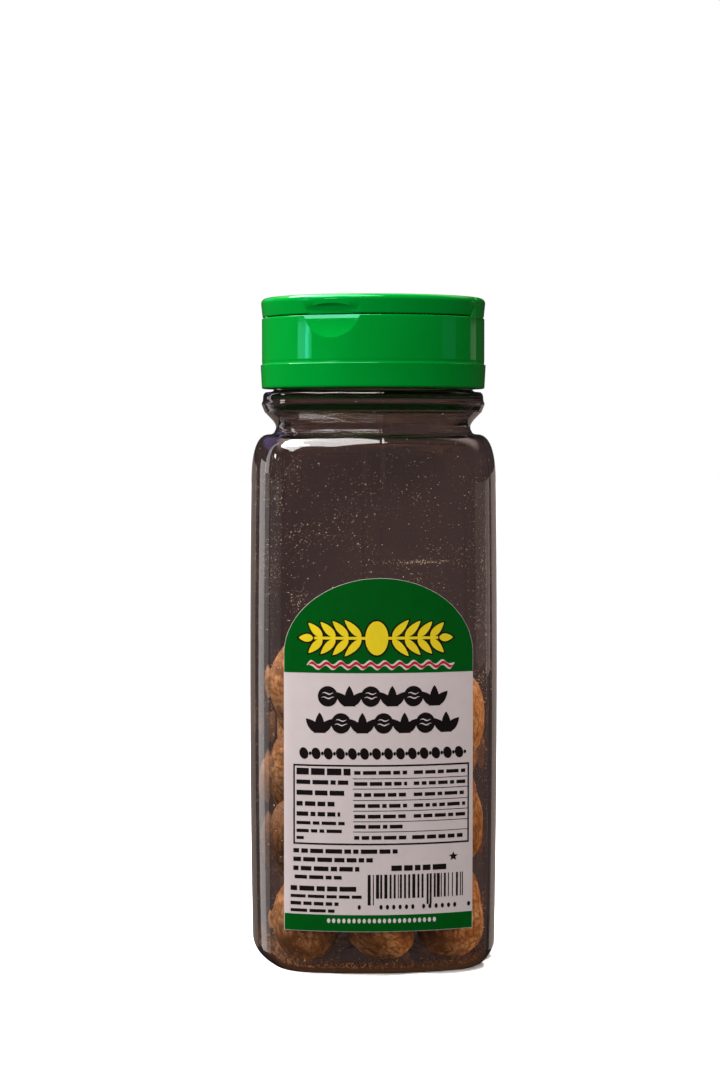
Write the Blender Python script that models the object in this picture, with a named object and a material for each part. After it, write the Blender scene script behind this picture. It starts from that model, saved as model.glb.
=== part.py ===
"""Clear square jar of whole nutmegs with a green two-door screw cap and a paper label.

Metres, +Z up. The origin is the middle of the base, on the surface that the jar stands on.
The labelled front faces -Y. Both doors of the cap hinge on a rib across its middle.
"""
import math
import random

import bmesh
import bpy
import numpy as np
from mathutils import Matrix, Vector

MM = 0.001
GAP = 0.3 * MM                    # clearance between neighbouring pieces

# Jar: a bulged square body, a rounded shoulder, a waist, a rolled ring and a neck
BODY_HALF = 32.5 * MM             # middle of a side panel to the axis, at the widest height
BODY_WIDEST_Z = 68.0 * MM
BODY_BARREL = 0.45 * MM           # how much the half width falls towards heel and shoulder
PANEL_RADIUS = 66.0 * MM          # bulge of the four side panels, in plan
CORNER_RADIUS = 9.0 * MM          # upright corners, in plan
WALL = 1.0 * MM
HEEL_RADIUS = 5.0 * MM
STAND_RING = 9.5 * MM             # width of the flat ring that the jar stands on
PUSH_UP = 2.4 * MM                # height of the hollow in the middle of the base
BASE_THICKNESS = 1.5 * MM
SHOULDER_FOOT_Z = 124.0 * MM
SHOULDER_TOP_Z = 137.4 * MM
SHOULDER_TOP_RADIUS = 27.0 * MM
SHOULDER_POWER = 2.6              # 2 is a plain quarter ellipse, more is squarer
WAIST_Z = 139.3 * MM
WAIST_RADIUS = 25.6 * MM
RING_FOOT_Z = 144.6 * MM
RING_TOP_Z = 148.4 * MM
RING_RADIUS = 29.0 * MM
NECK_RADIUS = 26.2 * MM
NECK_BORE = 24.6 * MM
NECK_TOP_Z = 165.3 * MM
PLAN_ANGLES = (14, 27, 36.5, 39.5, 42.3)  # degrees off each side's middle; corners are at 45

# Cap: a skirt with a deck, a middle rib and two doors
CAP_FOOT_Z = 149.3 * MM
CAP_STEP_Z = 155.5 * MM
SEAM_Z = 167.8 * MM               # joint between the skirt and the doors
CAP_TOP_Z = 172.9 * MM
SKIRT_FOOT_RADIUS = 29.6 * MM
SKIRT_STEP_RADIUS = 29.4 * MM
SKIRT_RADIUS = 29.25 * MM
SKIRT_BORE = 27.9 * MM
SKIRT_BORE_TOP = 27.2 * MM
DECK_TOP_Z = 167.0 * MM
DECK_UNDER_Z = 165.8 * MM
CAP_STEPS = 56

DOOR_RADIUS = 29.45 * MM
DOOR_EDGE = 1.3 * MM
DOOR_PLATE = 1.3 * MM
DOOR_RIM = 2.05 * MM
RIB_TOP_HALF = 1.2 * MM
RIB_FOOT_HALF = 4.4 * MM
RIB_WALL = 1.1 * MM
NOTCH_ANGLE = math.radians(-26.0)  # front thumb notch, from -Y towards -X; the other is opposite
NOTCH_DEPTH = 1.05 * MM
NOTCH_DROP = 6.3 * MM
NOTCH_ROOF = 2.2 * MM             # below the top of the cap

POUR_RADIUS = 22.4 * MM           # half-moon opening under the front door
POUR_EDGE = 6.6 * MM
SIFT_RADIUS = 2.3 * MM            # round holes under the back door
SIFT_RINGS = ((12.5 * MM, 3, 32.0), (19.0 * MM, 4, 28.0))

# Label on the front panel
LABEL_HALF = 24.0 * MM
LABEL_CENTRE_X = -0.7 * MM
LABEL_FOOT_Z = 11.7 * MM
LABEL_SPRING_Z = 82.0 * MM
LABEL_ARCH = 19.3 * MM
LABEL_THICKNESS = 0.2 * MM

# Nutmegs: eight that lie against the walls, then the rest of the fill
FILL_COUNT = 18
FILL_SEED = 11
NUT_RADIUS = (8.8 * MM, 10.1 * MM)
NUT_STRETCH = (1.8 * MM, 3.0 * MM)
NUT_CLEARANCE = 0.75 * MM
WALL_NUTS = (                      # middle x, y, z, turn, rise (degrees), radius, all sizes in mm
    (-19.7, -14.4, 71.0, 70, 38, 9.7),
    (-19.9, -14.2, 51.0, 60, -40, 9.3),
    (-20.6, -5.0, 33.4, 100, 10, 9.2),
    (-19.8, -14.8, 13.2, 60, 50, 9.4),
    (20.1, -13.2, 62.6, 115, -50, 9.8),
    (20.4, -12.0, 35.6, 70, 10, 9.2),
    (20.2, -14.0, 12.6, 60, 25, 9.6),
    (1.6, -15.8, 10.8, 60, -25, 8.6),
)
HEAP_STEPS = 40
HEAP_ROWS = 24
HEAP_CORE = 0.80                   # core of the heap, as a part of the room inside the jar


def section_half(z):
    """Half width of the body at height z, between the heel and the shoulder."""
    reach = (z - BODY_WIDEST_Z) / (SHOULDER_FOOT_Z - BODY_WIDEST_Z)
    return BODY_HALF - BODY_BARREL * reach * reach


def section_shape(half, panel, corner):
    """Centre offsets of the panel arc and the corner arc of a bulged square."""
    panel_centre = half - panel
    reach = panel - corner
    corner_centre = (panel_centre + math.sqrt(max(2 * reach * reach - panel_centre ** 2, 0.0))) / 2
    return panel_centre, max(corner_centre, 0.0)


def section_radius(angle, half, panel, corner):
    """Distance from the axis to a bulged square, in the direction of angle."""
    quarter = math.pi / 2
    turn = abs((angle + quarter / 2) % quarter - quarter / 2)
    panel_centre, corner_centre = section_shape(half, panel, corner)
    limit = math.atan2(corner_centre, corner_centre - panel_centre)
    tangent_x = panel_centre + panel * math.cos(limit)
    tangent_y = panel * math.sin(limit)
    if corner_centre < 1e-9 or turn <= math.atan2(tangent_y, tangent_x):
        return panel_centre * math.cos(turn) + math.sqrt(
            panel ** 2 - (panel_centre * math.sin(turn)) ** 2)
    along = corner_centre * (math.cos(turn) + math.sin(turn))
    aside = corner_centre * (math.cos(turn) - math.sin(turn))
    return along + math.sqrt(max(corner ** 2 - aside ** 2, 0.0))


def section_angles():
    """Directions round the jar, closer together at the upright corners."""
    side = [-angle for angle in reversed(PLAN_ANGLES)] + [0, *PLAN_ANGLES, 45]
    return [math.radians(90 * quarter + angle) for quarter in range(4) for angle in side]


def jar_ring(z, half, panel, corner):
    ring = []
    for angle in section_angles():
        radius = section_radius(angle, half, panel, corner)
        ring.append(Vector((radius * math.cos(angle), radius * math.sin(angle), z)))
    return ring


def shoulder_ring(share, inset):
    """One ring of the shoulder; share runs from 0 at its foot to 1 at its top."""
    turn = share * math.pi / 2
    power = 2 / SHOULDER_POWER
    rise = math.sin(turn) ** power
    pull = 1 - math.cos(turn) ** power
    foot_half = section_half(SHOULDER_FOOT_Z)
    half = foot_half + (SHOULDER_TOP_RADIUS - foot_half) * pull - inset
    panel = PANEL_RADIUS + (SHOULDER_TOP_RADIUS - PANEL_RADIUS) * pull - inset
    corner = CORNER_RADIUS + (SHOULDER_TOP_RADIUS - CORNER_RADIUS) * pull - inset
    z = SHOULDER_FOOT_Z + (SHOULDER_TOP_Z - SHOULDER_FOOT_Z) * rise - inset * pull
    return jar_ring(z, half, max(panel, half), min(corner, half))


def round_ring(z, radius):
    return jar_ring(z, radius, radius, radius)


def eased(share):
    return share * share * (3 - 2 * share)


def heel_rings(inset, floor_z, steps):
    """Rings of the rounded heel, from the floor up to the side wall."""
    rings = []
    radius = HEEL_RADIUS - inset
    for step in range(steps + 1):
        turn = step / steps * math.pi / 2
        z = floor_z + radius * (1 - math.cos(turn))
        half = section_half(HEEL_RADIUS) - inset - radius * (1 - math.sin(turn))
        panel = PANEL_RADIUS - inset - radius * (1 - math.sin(turn))
        rings.append(jar_ring(z, half, panel, CORNER_RADIUS - inset))
    return rings


def body_rings(inset, heights):
    return [jar_ring(z, section_half(z) - inset, PANEL_RADIUS - inset, CORNER_RADIUS - inset)
            for z in heights]


def neck_rings(inset, bore, steps):
    """Rings above the shoulder, up to the rim, for the outside or the inside of the wall."""
    rings = [round_ring((SHOULDER_TOP_Z + WAIST_Z) / 2, (SHOULDER_TOP_RADIUS + WAIST_RADIUS) / 2
                        - 0.35 * MM - inset)]
    for step in range(steps + 1):
        share = step / steps
        radius = WAIST_RADIUS + (RING_RADIUS - WAIST_RADIUS) * eased(share) - inset
        rings.append(round_ring(WAIST_Z + (RING_FOOT_Z - WAIST_Z) * share, radius))
    rings.append(round_ring(RING_TOP_Z - inset, RING_RADIUS - inset))
    rings.append(round_ring(RING_TOP_Z + 0.5 * MM - inset, bore))
    rings.append(round_ring(NECK_TOP_Z, bore))
    return rings


def mesh_from_rings(name, rings, first_cap=None, last_cap=None, closed=False):
    """A skin through equal rings, with a point that closes each end, or a closed tube."""
    mesh = bpy.data.meshes.new(name)
    build = bmesh.new()
    rows = [[build.verts.new(point) for point in ring] for ring in rings]
    pairs = list(zip(rows, rows[1:]))
    if closed:
        pairs.append((rows[-1], rows[0]))
    for low, high in pairs:
        for step in range(len(low)):
            after = (step + 1) % len(low)
            build.faces.new((low[step], low[after], high[after], high[step]))
    for point, row in ((first_cap, rows[0]), (last_cap, rows[-1])):
        if point is not None:
            middle = build.verts.new(point)
            for step in range(len(row)):
                build.faces.new((middle, row[step], row[(step + 1) % len(row)]))
    bmesh.ops.recalc_face_normals(build, faces=build.faces)
    build.to_mesh(mesh)
    build.free()
    return mesh


def material(name, colour, roughness, alpha=1.0, transmission=0.0):
    surface = bpy.data.materials.new(name)
    surface.use_nodes = True
    shader = surface.node_tree.nodes["Principled BSDF"]
    shader.inputs["Base Color"].default_value = (*colour, 1.0)
    shader.inputs["Roughness"].default_value = roughness
    shader.inputs["Metallic"].default_value = 0.0
    shader.inputs["Alpha"].default_value = alpha
    shader.inputs["Transmission Weight"].default_value = transmission
    surface.diffuse_color = (*colour, 1.0)
    return surface


def add_object(name, mesh, surface, smooth_angle=35.0):
    piece = bpy.data.objects.new(name, mesh)
    bpy.context.scene.collection.objects.link(piece)
    mesh.materials.append(surface)
    mesh.shade_smooth()
    mesh.set_sharp_from_angle(angle=math.radians(smooth_angle))
    return piece


def add_cutter(name, mesh):
    cutter = bpy.data.objects.new(name, mesh)
    bpy.context.scene.collection.objects.link(cutter)
    cutter.hide_render = True
    cutter.display_type = "WIRE"
    return cutter


def add_boolean(piece, cutter, operation="DIFFERENCE"):
    step = piece.modifiers.new(operation.title() + " " + cutter.name, "BOOLEAN")
    step.operation = operation
    step.object = cutter
    step.solver = "EXACT"


def build_jar(surface):
    """One skin: up the outside, over the rim and down the inside."""
    outer = [jar_ring(0.0, section_half(HEEL_RADIUS) - HEEL_RADIUS - STAND_RING,
                      PANEL_RADIUS - HEEL_RADIUS - STAND_RING, CORNER_RADIUS - 5 * MM)]
    outer += heel_rings(0.0, 0.0, 4)
    heights = (38 * MM, BODY_WIDEST_Z, 97 * MM)
    outer += body_rings(0.0, heights)
    outer += [shoulder_ring(step / 6, 0.0) for step in range(7)]
    outer += neck_rings(0.0, NECK_RADIUS, 5)
    inner = heel_rings(WALL, BASE_THICKNESS, 3)
    inner += body_rings(WALL, heights)
    inner += [shoulder_ring(step / 4, WALL) for step in range(5)]
    inner += neck_rings(WALL, NECK_BORE, 3)
    rings = outer + inner[::-1]
    mesh = mesh_from_rings("jar", rings,
                           first_cap=Vector((0, 0, PUSH_UP)),
                           last_cap=Vector((0, 0, PUSH_UP + BASE_THICKNESS)))
    return add_object("jar", mesh, surface)


def turned_mesh(name, profile, steps):
    """A solid of revolution about Z from a closed outline of (radius, z) points."""
    rings = [[Vector((radius * math.cos(2 * math.pi * s / steps),
                      radius * math.sin(2 * math.pi * s / steps), z)) for s in range(steps)]
             for radius, z in profile]
    return mesh_from_rings(name, rings, closed=True)


def prism_mesh(name, outline, depth, frame):
    """An upright outline pushed depth both ways along its own normal, placed by frame."""
    build = bmesh.new()
    front = [build.verts.new(frame @ Vector((x, -depth, z))) for x, z in outline]
    back = [build.verts.new(frame @ Vector((x, depth, z))) for x, z in outline]
    build.faces.new(front)
    build.faces.new(back[::-1])
    for step in range(len(outline)):
        after = (step + 1) % len(outline)
        build.faces.new((front[step], back[step], back[after], front[after]))
    bmesh.ops.recalc_face_normals(build, faces=build.faces)
    mesh = bpy.data.meshes.new(name)
    build.to_mesh(mesh)
    build.free()
    return mesh


def across_frame():
    """Local X points out through the thumb notch; local Y runs along the hinge rib."""
    return Matrix.Rotation(NOTCH_ANGLE - math.pi / 2, 4, "Z")


def rib_half(z, spread=0.0):
    """Half width of the rib at height z."""
    share = (CAP_TOP_Z - z) / (CAP_TOP_Z - SEAM_Z)
    return RIB_TOP_HALF + (RIB_FOOT_HALF - RIB_TOP_HALF) * share + spread


def door_edge_profile():
    """Rounded outer edge of the top, from the flat down to the side."""
    profile = []
    for step in range(5):
        turn = step / 4 * math.pi / 2
        profile.append((DOOR_RADIUS - DOOR_EDGE * (1 - math.sin(turn)),
                        CAP_TOP_Z - DOOR_EDGE * (1 - math.cos(turn))))
    return profile


def build_rib():
    """Rib of wedge section, its ends turned to the same outline as the doors."""
    foot = DECK_TOP_Z - 0.6 * MM
    wedge = [(-rib_half(foot), foot), (rib_half(foot), foot),
             (RIB_TOP_HALF, CAP_TOP_Z), (-RIB_TOP_HALF, CAP_TOP_Z)]
    rib = add_cutter("rib_form", prism_mesh("rib_form", wedge, 32 * MM, across_frame()))
    seat = SKIRT_BORE_TOP + 0.8 * MM
    profile = [(0.0, CAP_TOP_Z + 1 * MM), (DOOR_RADIUS - DOOR_EDGE, CAP_TOP_Z + 1 * MM)]
    profile += door_edge_profile()
    profile += [(DOOR_RADIUS, SEAM_Z - 0.5 * MM), (seat, SEAM_Z - 0.5 * MM),
                (seat, foot - 1 * MM), (0.0, foot - 1 * MM)]
    rings = profile[1:-1]
    rings = [[Vector((radius * math.cos(2 * math.pi * s / CAP_STEPS),
                      radius * math.sin(2 * math.pi * s / CAP_STEPS), z))
              for s in range(CAP_STEPS)] for radius, z in rings]
    envelope = mesh_from_rings("rib_ends", rings, first_cap=Vector((0, 0, profile[0][1])),
                               last_cap=Vector((0, 0, profile[-1][1])))
    add_boolean(rib, add_cutter("rib_ends", envelope), "INTERSECT")
    return rib


def build_cap(surface):
    skirt_top = SEAM_Z - GAP / 2
    profile = [
        (0.9 * MM, DECK_TOP_Z), (SKIRT_BORE_TOP - 0.4 * MM, DECK_TOP_Z),
        (SKIRT_BORE_TOP, skirt_top), (SKIRT_RADIUS - 0.15 * MM, skirt_top),
        (SKIRT_RADIUS, skirt_top - 0.2 * MM), (SKIRT_RADIUS, CAP_STEP_Z + 0.25 * MM),
        (SKIRT_STEP_RADIUS, CAP_STEP_Z), (SKIRT_FOOT_RADIUS, CAP_FOOT_Z + 0.4 * MM),
        (SKIRT_FOOT_RADIUS - 0.3 * MM, CAP_FOOT_Z), (SKIRT_BORE, CAP_FOOT_Z),
        (SKIRT_BORE, 158 * MM), (SKIRT_BORE_TOP, 160 * MM), (SKIRT_BORE_TOP, DECK_UNDER_Z),
        (0.9 * MM, DECK_UNDER_Z),
    ]
    cap = add_object("cap", turned_mesh("cap", profile, CAP_STEPS), surface)
    add_boolean(cap, build_rib(), "UNION")

    trough = [(-rib_half(DECK_UNDER_Z) + RIB_WALL, DECK_UNDER_Z - 2 * MM),
              (rib_half(DECK_UNDER_Z) - RIB_WALL, DECK_UNDER_Z - 2 * MM),
              (rib_half(DECK_UNDER_Z) - RIB_WALL, DECK_UNDER_Z),
              (0.55 * MM, CAP_TOP_Z - 1.3 * MM), (-0.55 * MM, CAP_TOP_Z - 1.3 * MM),
              (-rib_half(DECK_UNDER_Z) + RIB_WALL, DECK_UNDER_Z)]
    hollow = add_cutter("rib_hollow", prism_mesh("rib_hollow", trough, 24.5 * MM, across_frame()))
    add_boolean(cap, hollow)

    slope = NOTCH_DEPTH / NOTCH_DROP
    outer = SKIRT_RADIUS + 4 * MM
    face_top = SKIRT_RADIUS - NOTCH_DEPTH
    for name, side in (("front_scoop", 1), ("back_scoop", -1)):
        scoop = [(side * (face_top - slope * 2 * MM), SEAM_Z + 2 * MM),
                 (side * (SKIRT_RADIUS + slope * 2 * MM), SEAM_Z - NOTCH_DROP - 2 * MM),
                 (side * outer, SEAM_Z - NOTCH_DROP - 2 * MM), (side * outer, SEAM_Z + 2 * MM)]
        add_boolean(cap, add_cutter(name, prism_mesh(name, scoop, 12 * MM, across_frame())))

    moon = []
    limit = math.acos(POUR_EDGE / POUR_RADIUS)
    for step in range(15):
        angle = -limit + 2 * limit * step / 14
        moon.append((POUR_RADIUS * math.cos(angle), POUR_RADIUS * math.sin(angle)))
    add_boolean(cap, add_cutter("pour_opening", upright_prism("pour_opening", moon)))
    number = 0
    for ring_radius, count, spread in SIFT_RINGS:
        for step in range(count):
            number += 1
            angle = math.pi + math.radians(spread * (step - (count - 1) / 2))
            centre = (ring_radius * math.cos(angle), ring_radius * math.sin(angle))
            hole = [(centre[0] + SIFT_RADIUS * math.cos(2 * math.pi * s / 12),
                     centre[1] + SIFT_RADIUS * math.sin(2 * math.pi * s / 12)) for s in range(12)]
            name = "sift_hole_%d" % number
            add_boolean(cap, add_cutter(name, upright_prism(name, hole)))
    return cap


def upright_prism(name, outline):
    """A plan outline as a plug through the deck, turned to the hinge."""
    build = bmesh.new()
    frame = across_frame()
    low = [build.verts.new(frame @ Vector((x, y, DECK_UNDER_Z - 1 * MM))) for x, y in outline]
    high = [build.verts.new(frame @ Vector((x, y, DECK_TOP_Z + 1 * MM))) for x, y in outline]
    build.faces.new(low[::-1])
    build.faces.new(high)
    for step in range(len(outline)):
        after = (step + 1) % len(outline)
        build.faces.new((low[step], low[after], high[after], high[step]))
    bmesh.ops.recalc_face_normals(build, faces=build.faces)
    mesh = bpy.data.meshes.new(name)
    build.to_mesh(mesh)
    build.free()
    return mesh


def hinge_point(side):
    """Middle of a door's hinge line: at the top edge of the rib, on its own side."""
    return across_frame() @ Vector((side * (RIB_TOP_HALF + GAP / 2), 0, CAP_TOP_Z))


def build_door(name, side, surface):
    """Half of a shallow turned lid, cut along the slanted side of the rib."""
    foot = SEAM_Z + GAP / 2
    profile = [(0.9 * MM, CAP_TOP_Z)]
    profile += door_edge_profile()
    profile += [(DOOR_RADIUS, foot + 0.2 * MM), (DOOR_RADIUS - 0.2 * MM, foot),
                (DOOR_RADIUS - DOOR_RIM, foot), (DOOR_RADIUS - DOOR_RIM, CAP_TOP_Z - DOOR_PLATE),
                (0.9 * MM, CAP_TOP_Z - DOOR_PLATE)]
    door = add_object(name, turned_mesh(name, profile, CAP_STEPS), surface)
    low = foot - 3 * MM
    high = CAP_TOP_Z + 1 * MM
    keep = [(side * rib_half(low, GAP), low), (side * 40 * MM, low), (side * 40 * MM, high),
            (side * rib_half(high, GAP), high)]
    half = add_cutter(name + "_half", prism_mesh(name + "_half", keep, 40 * MM, across_frame()))
    add_boolean(door, half, "INTERSECT")
    face = DOOR_RADIUS - NOTCH_DEPTH - 0.1 * MM
    recess = [(side * face, foot - 1 * MM), (side * (face + 5 * MM), foot - 1 * MM),
              (side * (face + 5 * MM), CAP_TOP_Z - NOTCH_ROOF),
              (side * face, CAP_TOP_Z - NOTCH_ROOF)]
    notch = name + "_notch"
    add_boolean(door, add_cutter(notch, prism_mesh(notch, recess, 12 * MM, across_frame())))
    pivot = hinge_point(side)
    door.data.transform(Matrix.Translation(-pivot))
    door.location = pivot
    return door


def panel_front(x, z):
    """How far the front panel stands out from the axis at x and z."""
    half = section_half(z)
    panel_centre, corner_centre = section_shape(half, PANEL_RADIUS, CORNER_RADIUS)
    limit = math.atan2(corner_centre, corner_centre - panel_centre)
    if abs(x) <= PANEL_RADIUS * math.sin(limit):
        return panel_centre + math.sqrt(PANEL_RADIUS ** 2 - x * x)
    return corner_centre + math.sqrt(CORNER_RADIUS ** 2 - (abs(x) - corner_centre) ** 2)


def build_label(surface):
    """A thin sheet that follows the front panel, straight at the foot and arched on top."""
    columns = 14
    rows = 6
    build = bmesh.new()
    layers = []
    for offset in (GAP + LABEL_THICKNESS, GAP):
        grid = []
        for column in range(columns + 1):
            turn = math.pi * (column / columns - 0.5)
            x = LABEL_HALF * math.sin(turn)
            top = LABEL_SPRING_Z + LABEL_ARCH * math.cos(turn)
            line = []
            for row in range(rows + 1):
                z = LABEL_FOOT_Z + (top - LABEL_FOOT_Z) * row / rows
                place = x + LABEL_CENTRE_X
                line.append(build.verts.new((place, -panel_front(place, z) - offset, z)))
            grid.append(line)
        layers.append(grid)
    front, back = layers
    for column in range(columns):
        for row in range(rows):
            for grid in layers:
                build.faces.new((grid[column][row], grid[column + 1][row],
                                 grid[column + 1][row + 1], grid[column][row + 1]))
        for row in (0, rows):
            build.faces.new((front[column][row], front[column + 1][row],
                             back[column + 1][row], back[column][row]))
    for row in range(rows):
        for column in (0, columns):
            build.faces.new((front[column][row], front[column][row + 1],
                             back[column][row + 1], back[column][row]))
    bmesh.ops.recalc_face_normals(build, faces=build.faces)
    mesh = bpy.data.meshes.new("label")
    build.to_mesh(mesh)
    build.free()
    return add_object("label", mesh, surface)


def starting_nutmegs():
    """Loose nutmegs before they settle: (middle, long axis, radius, half stick, keeps place)."""
    draw = random.Random(FILL_SEED)
    loose = []
    for x, y, z, turn, rise, radius in WALL_NUTS:
        turn = math.radians(turn)
        rise = math.radians(rise)
        axis = (math.cos(turn) * math.cos(rise), math.sin(turn) * math.cos(rise), math.sin(rise))
        loose.append((np.array((x, y, z)) * MM, np.array(axis), radius * MM, 2.3 * MM, True))
    for step in range(FILL_COUNT):
        angle = step * 2.4 + draw.uniform(-0.3, 0.3)
        height = (14 + 21 * (step // 5)) * MM + draw.uniform(0, 4 * MM)
        middle = np.array((9 * MM * math.cos(angle), (6 + 10 * math.sin(angle)) * MM, height))
        axis = np.array([draw.gauss(0, 1) for _ in range(3)])
        axis /= np.linalg.norm(axis)
        radius = draw.uniform(*NUT_RADIUS)
        loose.append((middle, axis, radius, draw.uniform(*NUT_STRETCH), False))
    return loose


def jar_floor(distance):
    """Height of the floor inside the jar, with its raised middle, at a distance from the axis."""
    dome = section_half(HEEL_RADIUS) - HEEL_RADIUS - STAND_RING
    return BASE_THICKNESS + PUSH_UP * np.maximum(1 - distance / dome, 0.0) + 0.4 * MM


def keep_inside(ends, radius):
    """Push the balls back from the four side panels and up from the floor of the jar."""
    panel = PANEL_RADIUS - WALL - NUT_CLEARANCE
    centre = BODY_HALF - BODY_BARREL - WALL - NUT_CLEARANCE - panel
    limit = panel - radius
    for axis, side in ((0, 1), (0, -1), (1, 1), (1, -1)):
        other = 1 - axis
        out = side * ends[:, axis] - centre
        size = np.hypot(out, ends[:, other])
        over = np.where(size > limit, limit / size, 1.0)
        ends[:, axis] = side * (out * over + centre)
        ends[:, other] *= over
    floor = jar_floor(np.hypot(ends[:, 0], ends[:, 1]))
    ends[:, 2] = np.maximum(ends[:, 2], floor + radius)


def pack_nutmegs():
    """Settle the nutmegs in the jar. Each is two balls on a short stick while it settles.

    Gives a list of (middle, long axis, radius, half stick length).
    """
    loose = starting_nutmegs()
    ends = np.array([point for middle, axis, _, stick, _ in loose
                     for point in (middle - axis * stick, middle + axis * stick)])
    home = ends.copy()
    radius = np.repeat([nut[2] for nut in loose], 2)
    length = np.array([nut[3] for nut in loose]) * 2
    kept = np.repeat([nut[4] for nut in loose], 2)
    owner = np.repeat(np.arange(len(loose)), 2)
    first, second = np.triu_indices(len(ends), 1)
    apart = owner[first] != owner[second]
    first, second = first[apart], second[apart]
    reach = radius[first] + radius[second]
    rounds = 1200
    for turn in range(rounds):
        ends[~kept, 2] -= 0.12 * MM * (1 - turn / rounds)
        ends[kept] += (home[kept] - ends[kept]) * 0.12 * (1 - turn / rounds)
        for _ in range(3):
            gap = ends[second] - ends[first]
            size = np.linalg.norm(gap, axis=1) + 1e-12
            push = np.clip(reach - size, 0, None)[:, None] * gap / size[:, None] * 0.3
            np.subtract.at(ends, first, push)
            np.add.at(ends, second, push)
            stick = ends[1::2] - ends[0::2]
            size = np.linalg.norm(stick, axis=1)
            fix = stick * ((size - length) / size)[:, None] / 2
            ends[0::2] += fix
            ends[1::2] -= fix
            keep_inside(ends, radius)
    nutmegs = []
    for number, (_, _, size, stick, _) in enumerate(loose):
        low, high = ends[2 * number], ends[2 * number + 1]
        nutmegs.append(((low + high) / 2, (high - low) / np.linalg.norm(high - low), size, stick))
    return nutmegs


def far_hit(origin, direction, nutmeg):
    """Where a ray from origin leaves a nutmeg, or 0 if it misses it."""
    middle, axis, radius, stick = nutmeg
    long_half = radius + stick
    offset = origin - middle

    def squash(vector):
        along = vector @ axis
        return np.append((vector - along * axis) / radius, along / long_half)

    ray = squash(direction)
    start = squash(offset)
    a = ray @ ray
    b = ray @ start
    root = b * b - a * (start @ start - 1)
    if root <= 0:
        return 0.0
    return max((-b + math.sqrt(root)) / a, 0.0)


def build_heap(surface):
    """The fill as one solid: rays from the axis go out to the outermost nutmeg they meet."""
    nutmegs = pack_nutmegs()
    floor = float(jar_floor(0.0))
    top = max(middle[2] for middle, _, _, _ in nutmegs)
    low_hub = floor + 12 * MM
    high_hub = top - 8 * MM
    rings = []
    limit_half = BODY_HALF - BODY_BARREL - WALL - NUT_CLEARANCE + 0.1 * MM
    for row in range(1, HEAP_ROWS):
        share = row / HEAP_ROWS
        if share < 0.2:
            tilt = -math.pi / 2 * (1 - share / 0.2)
            hub = low_hub
        elif share > 0.75:
            tilt = math.pi / 2 * (share - 0.75) / 0.25
            hub = high_hub
        else:
            tilt = 0.0
            hub = low_hub + (high_hub - low_hub) * (share - 0.2) / 0.55
        ring = []
        for step in range(HEAP_STEPS):
            turn = 2 * math.pi * step / HEAP_STEPS
            origin = np.array((0, 0, hub))
            direction = np.array((math.cos(turn) * math.cos(tilt),
                                  math.sin(turn) * math.cos(tilt), math.sin(tilt)))
            flat = section_radius(turn, limit_half, PANEL_RADIUS - WALL - NUT_CLEARANCE,
                                  CORNER_RADIUS - WALL)
            core = HEAP_CORE * flat
            core = 1 / math.sqrt((math.cos(tilt) / core) ** 2 + (math.sin(tilt) / (11 * MM)) ** 2)
            reach = max([core] + [far_hit(origin, direction, nutmeg) for nutmeg in nutmegs])
            if tilt < 0:
                reach = min(reach, (hub - floor) / -math.sin(tilt))
            if math.cos(tilt) > 0.01:
                reach = min(reach, flat / math.cos(tilt))
            ring.append(Vector(origin + direction * reach))
        rings.append(ring)
    summit = Vector((0, 0, max(high_hub + far_hit(np.array((0, 0, high_hub)), np.array((0, 0, 1.0)),
                                                  nutmeg) for nutmeg in nutmegs)))
    mesh = mesh_from_rings("nutmegs", rings, first_cap=Vector((0, 0, floor)), last_cap=summit)
    return add_object("nutmegs", mesh, surface, smooth_angle=60.0)


def main():
    for old in list(bpy.data.objects):
        bpy.data.objects.remove(old, do_unlink=True)
    clear = material("Clear plastic", (0.90, 0.92, 0.92), 0.05, alpha=0.35, transmission=0.9)
    green = material("Green cap plastic", (0.004, 0.27, 0.055), 0.30)
    paper = material("Label paper", (0.62, 0.57, 0.58), 0.45)
    shell = material("Nutmeg", (0.19, 0.095, 0.045), 0.60)
    build_jar(clear)
    build_cap(green)
    build_door("front_door", 1, green)
    build_door("back_door", -1, green)
    build_label(paper)
    build_heap(shell)


main()
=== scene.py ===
# Jar of whole nutmegs: finishes, fine shapes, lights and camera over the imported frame.
# Metres, +Z up. Sizes in the dictionaries are millimetres unless a note says otherwise.
import math
import random

import bmesh
import bpy
import numpy as np
from mathutils import Euler, Matrix, Quaternion, Vector, noise


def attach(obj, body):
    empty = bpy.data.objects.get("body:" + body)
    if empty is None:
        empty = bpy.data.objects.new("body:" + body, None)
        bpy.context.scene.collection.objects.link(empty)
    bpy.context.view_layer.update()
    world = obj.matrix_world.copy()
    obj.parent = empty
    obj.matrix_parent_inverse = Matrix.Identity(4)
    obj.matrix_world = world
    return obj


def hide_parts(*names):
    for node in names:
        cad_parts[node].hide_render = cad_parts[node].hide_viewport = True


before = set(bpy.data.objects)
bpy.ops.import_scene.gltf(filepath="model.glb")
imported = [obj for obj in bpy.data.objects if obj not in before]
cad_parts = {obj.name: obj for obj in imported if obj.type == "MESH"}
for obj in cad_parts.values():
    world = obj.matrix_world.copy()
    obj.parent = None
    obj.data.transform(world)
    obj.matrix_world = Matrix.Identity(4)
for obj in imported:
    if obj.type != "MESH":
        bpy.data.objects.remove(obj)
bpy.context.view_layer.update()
print("frame loaded:", ", ".join(sorted(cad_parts)))

mm = 0.001


def newMaterial(name):
    material = bpy.data.materials.new(name)
    material.use_nodes = True
    shader = material.node_tree.nodes["Principled BSDF"]
    return material, shader


def addNode(material, kind, **inputs):
    node = material.node_tree.nodes.new(kind)
    for key, value in inputs.items():
        node.inputs[key].default_value = value
    return node


def link(material, output, target):
    material.node_tree.links.new(output, target)


def objectPlace(material):
    return addNode(material, "ShaderNodeTexCoord").outputs["Object"]


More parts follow.
